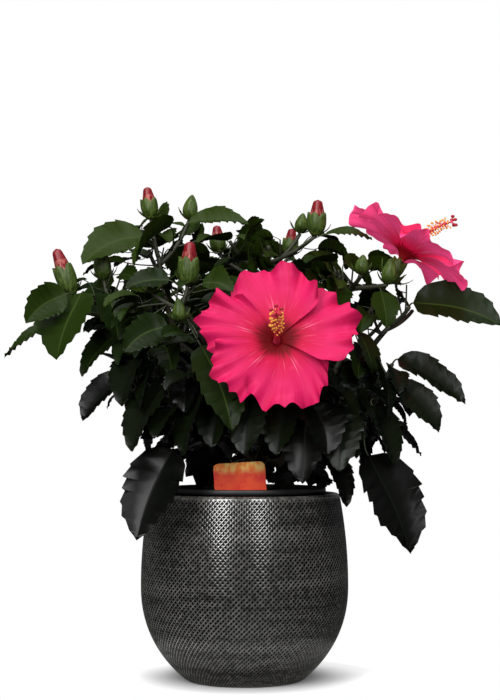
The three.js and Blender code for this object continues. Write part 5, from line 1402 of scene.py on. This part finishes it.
def add_bracts(heap, foot, way, reach, size):
    """A ring of bracts at even turns round the foot, each at reach from its middle."""
    side = unit(np.cross(way, (0, 1, 0.2)))
    other = np.cross(way, side)
    for n in range(BRACTS["count"]):
        turn = 2 * math.pi * n / BRACTS["count"] + 0.4
        out = side * math.cos(turn) + other * math.sin(turn)
        length = BRACTS["length"] * size * (1 + 0.15 * math.sin(5 * n))
        heap.add(bract_grid(foot + out * reach, way, out, length, BRACTS["width"]))


def streaked_finish(name, scale, low, high, dark, light):
    """Dull skin with lengthwise streaks, dark where their noise is under low, light over high."""
    skin = Finish(name, {"Roughness": 0.5, "Specular IOR Level": 0.3})
    streaks = skin.noise(scale, 3, stretch=(1, 1, 0.22))
    skin.vary("Base Color", skin.mix(streaks.between(low, high), dark, light))
    return skin


greens = (0.022, 0.042, 0.004, 1), (0.066, 0.1, 0.016, 1)
reds = (0.13, 0.003, 0.007, 1), (0.36, 0.09, 0.075, 1)
calyx_green = streaked_finish("calyx_green", 520, 0.35, 0.7, *greens)
bud_red = streaked_finish("bud_red", 480, 0.42, 0.62, *reds)
bud_tip = Finish("bud_tip", {"Base Color": (0.17, 0.001, 0.006, 1), "Roughness": 0.45})
heap = Heap()
for mass in MASSES.values():
    for bud in mass["buds"]:
        base, tip, girth = np.array(bud["base"], float), np.array(bud["to"], float), bud["girth"]
        if tuple(bud["to"]) in RED_BUDS:
            heap.add(closed_tube(calyx_grid(base, tip, girth, top=0.5)), closed=True)
            furled = closed_tube(furled_grid(base, tip, girth, low=0.3))
            kinds = np.ones((furled.shape[0] - 1, furled.shape[1]), int)
            kinds[-DARK_TIP_ROWS:] = 2
            heap.add(furled, kinds, closed=True)
        else:
            heap.add(closed_tube(closed_bud_grid(base, tip, girth)), closed=True)
        way = unit(tip - base)
        add_bracts(heap, base + way * 1.5, way, reach=1.2, size=1.0)
for bloom in BLOOMS.values():
    curve, _ = bloom["limbs"]["calyx"]
    cup = calyx_grid(curve.at(0.0), curve.at(1.0), girth=7.6, top=0.92)
    heap.add(closed_tube(cup), closed=True)
    add_bracts(heap, curve.at(0.05), curve.along(0.0), reach=2.0, size=1.4)
heap.piece("buds", [calyx_green, bud_red, bud_tip], "leaf")

# ---- Floor, light and camera ----
# A round sheet of white paper that glows a little towards its edge, two tall soft lights in front,
# a broad one above, and a soft grey surround.

FLOOR = {"radius": 130, "corners": 96}
turn = turns(FLOOR["corners"])
edge = np.stack([np.cos(turn), np.sin(turn), 0 * turn], -1) * FLOOR["radius"] * MM
floor_mesh = bpy.data.meshes.new("floor")
floor_mesh.from_pydata(edge.tolist(), [], [tuple(range(FLOOR["corners"]))])
white = {"Base Color": (0.7, 0.7, 0.7, 1), "Roughness": 0.9, "Emission Strength": 1.0}
paper = Finish("white_paper", white)
length = paper.node("ShaderNodeVectorMath", {"operation": "LENGTH"}, {0: paper.place()})
outer = Value(paper, length.outputs["Value"]).between(0.06, 0.125)
glow = paper.mix(outer, (0.05, 0.05, 0.05, 1), (0.72, 0.72, 0.72, 1))
paper.vary("Emission Color", glow)
floor_mesh.materials.append(paper.material)
floor = shown("floor", floor_mesh)

world = bpy.data.worlds.new("studio")
bpy.context.scene.world = world
world.use_nodes = True
sky = world.node_tree
surround = sky.nodes["Background"]
surround.inputs["Color"].default_value = (0.12, 0.122, 0.125, 1)
backdrop = sky.nodes.new("ShaderNodeBackground")
backdrop.inputs["Color"].default_value = (1, 1, 1, 1)
light_path = sky.nodes.new("ShaderNodeLightPath")
either = sky.nodes.new("ShaderNodeMixShader")
sky.links.new(light_path.outputs["Is Camera Ray"], either.inputs[0])
sky.links.new(surround.outputs[0], either.inputs[1])
sky.links.new(backdrop.outputs[0], either.inputs[2])
sky.links.new(either.outputs[0], sky.nodes["World Output"].inputs[0])


def stand(thing, place, way):
    """Puts a light or the camera in its place and turns it to look along way."""
    thing.location = place * MM
    thing.rotation_euler = Vector(tuple(way)).to_track_quat("-Z", "Y").to_euler()


AIM = np.array([5.0, 0.0, 260.0])
# Each light: degrees to the right of the front and above the level, distance, width, height, watts.
LIGHTS = {
    "tall_left": (-27, 25, 1700, 520, 1400, 27),
    "tall_right": (16, 27, 1700, 420, 1400, 18),
    "overhead": (-20, 78, 1600, 1300, 1300, 17),
}
for name, (round_deg, up_deg, distance, width, height, watts) in LIGHTS.items():
    around, above = math.radians(round_deg), math.radians(up_deg)
    level = math.cos(above)
    way = np.array([math.sin(around) * level, -math.cos(around) * level, math.sin(above)])
    light = bpy.data.lights.new(name, "AREA")
    light.shape, light.size, light.size_y, light.energy = "RECTANGLE", width * MM, height * MM, watts
    stand(shown(name, light), AIM + way * distance, -way)

CAMERA = {"from": (5, -1475, 233), "at": (5, 0, 302), "focal_px": 1592.5, "frame_px": 700, "sensor": 36}
camera = bpy.data.cameras.new("camera")
camera.sensor_width = CAMERA["sensor"]
camera.lens = CAMERA["focal_px"] / CAMERA["frame_px"] * CAMERA["sensor"]
viewer = shown("camera", camera)
stand(viewer, np.array(CAMERA["from"]), np.array(CAMERA["at"], float) - CAMERA["from"])
bpy.context.scene.camera = viewer
bpy.context.scene.view_settings.view_transform = "Standard"
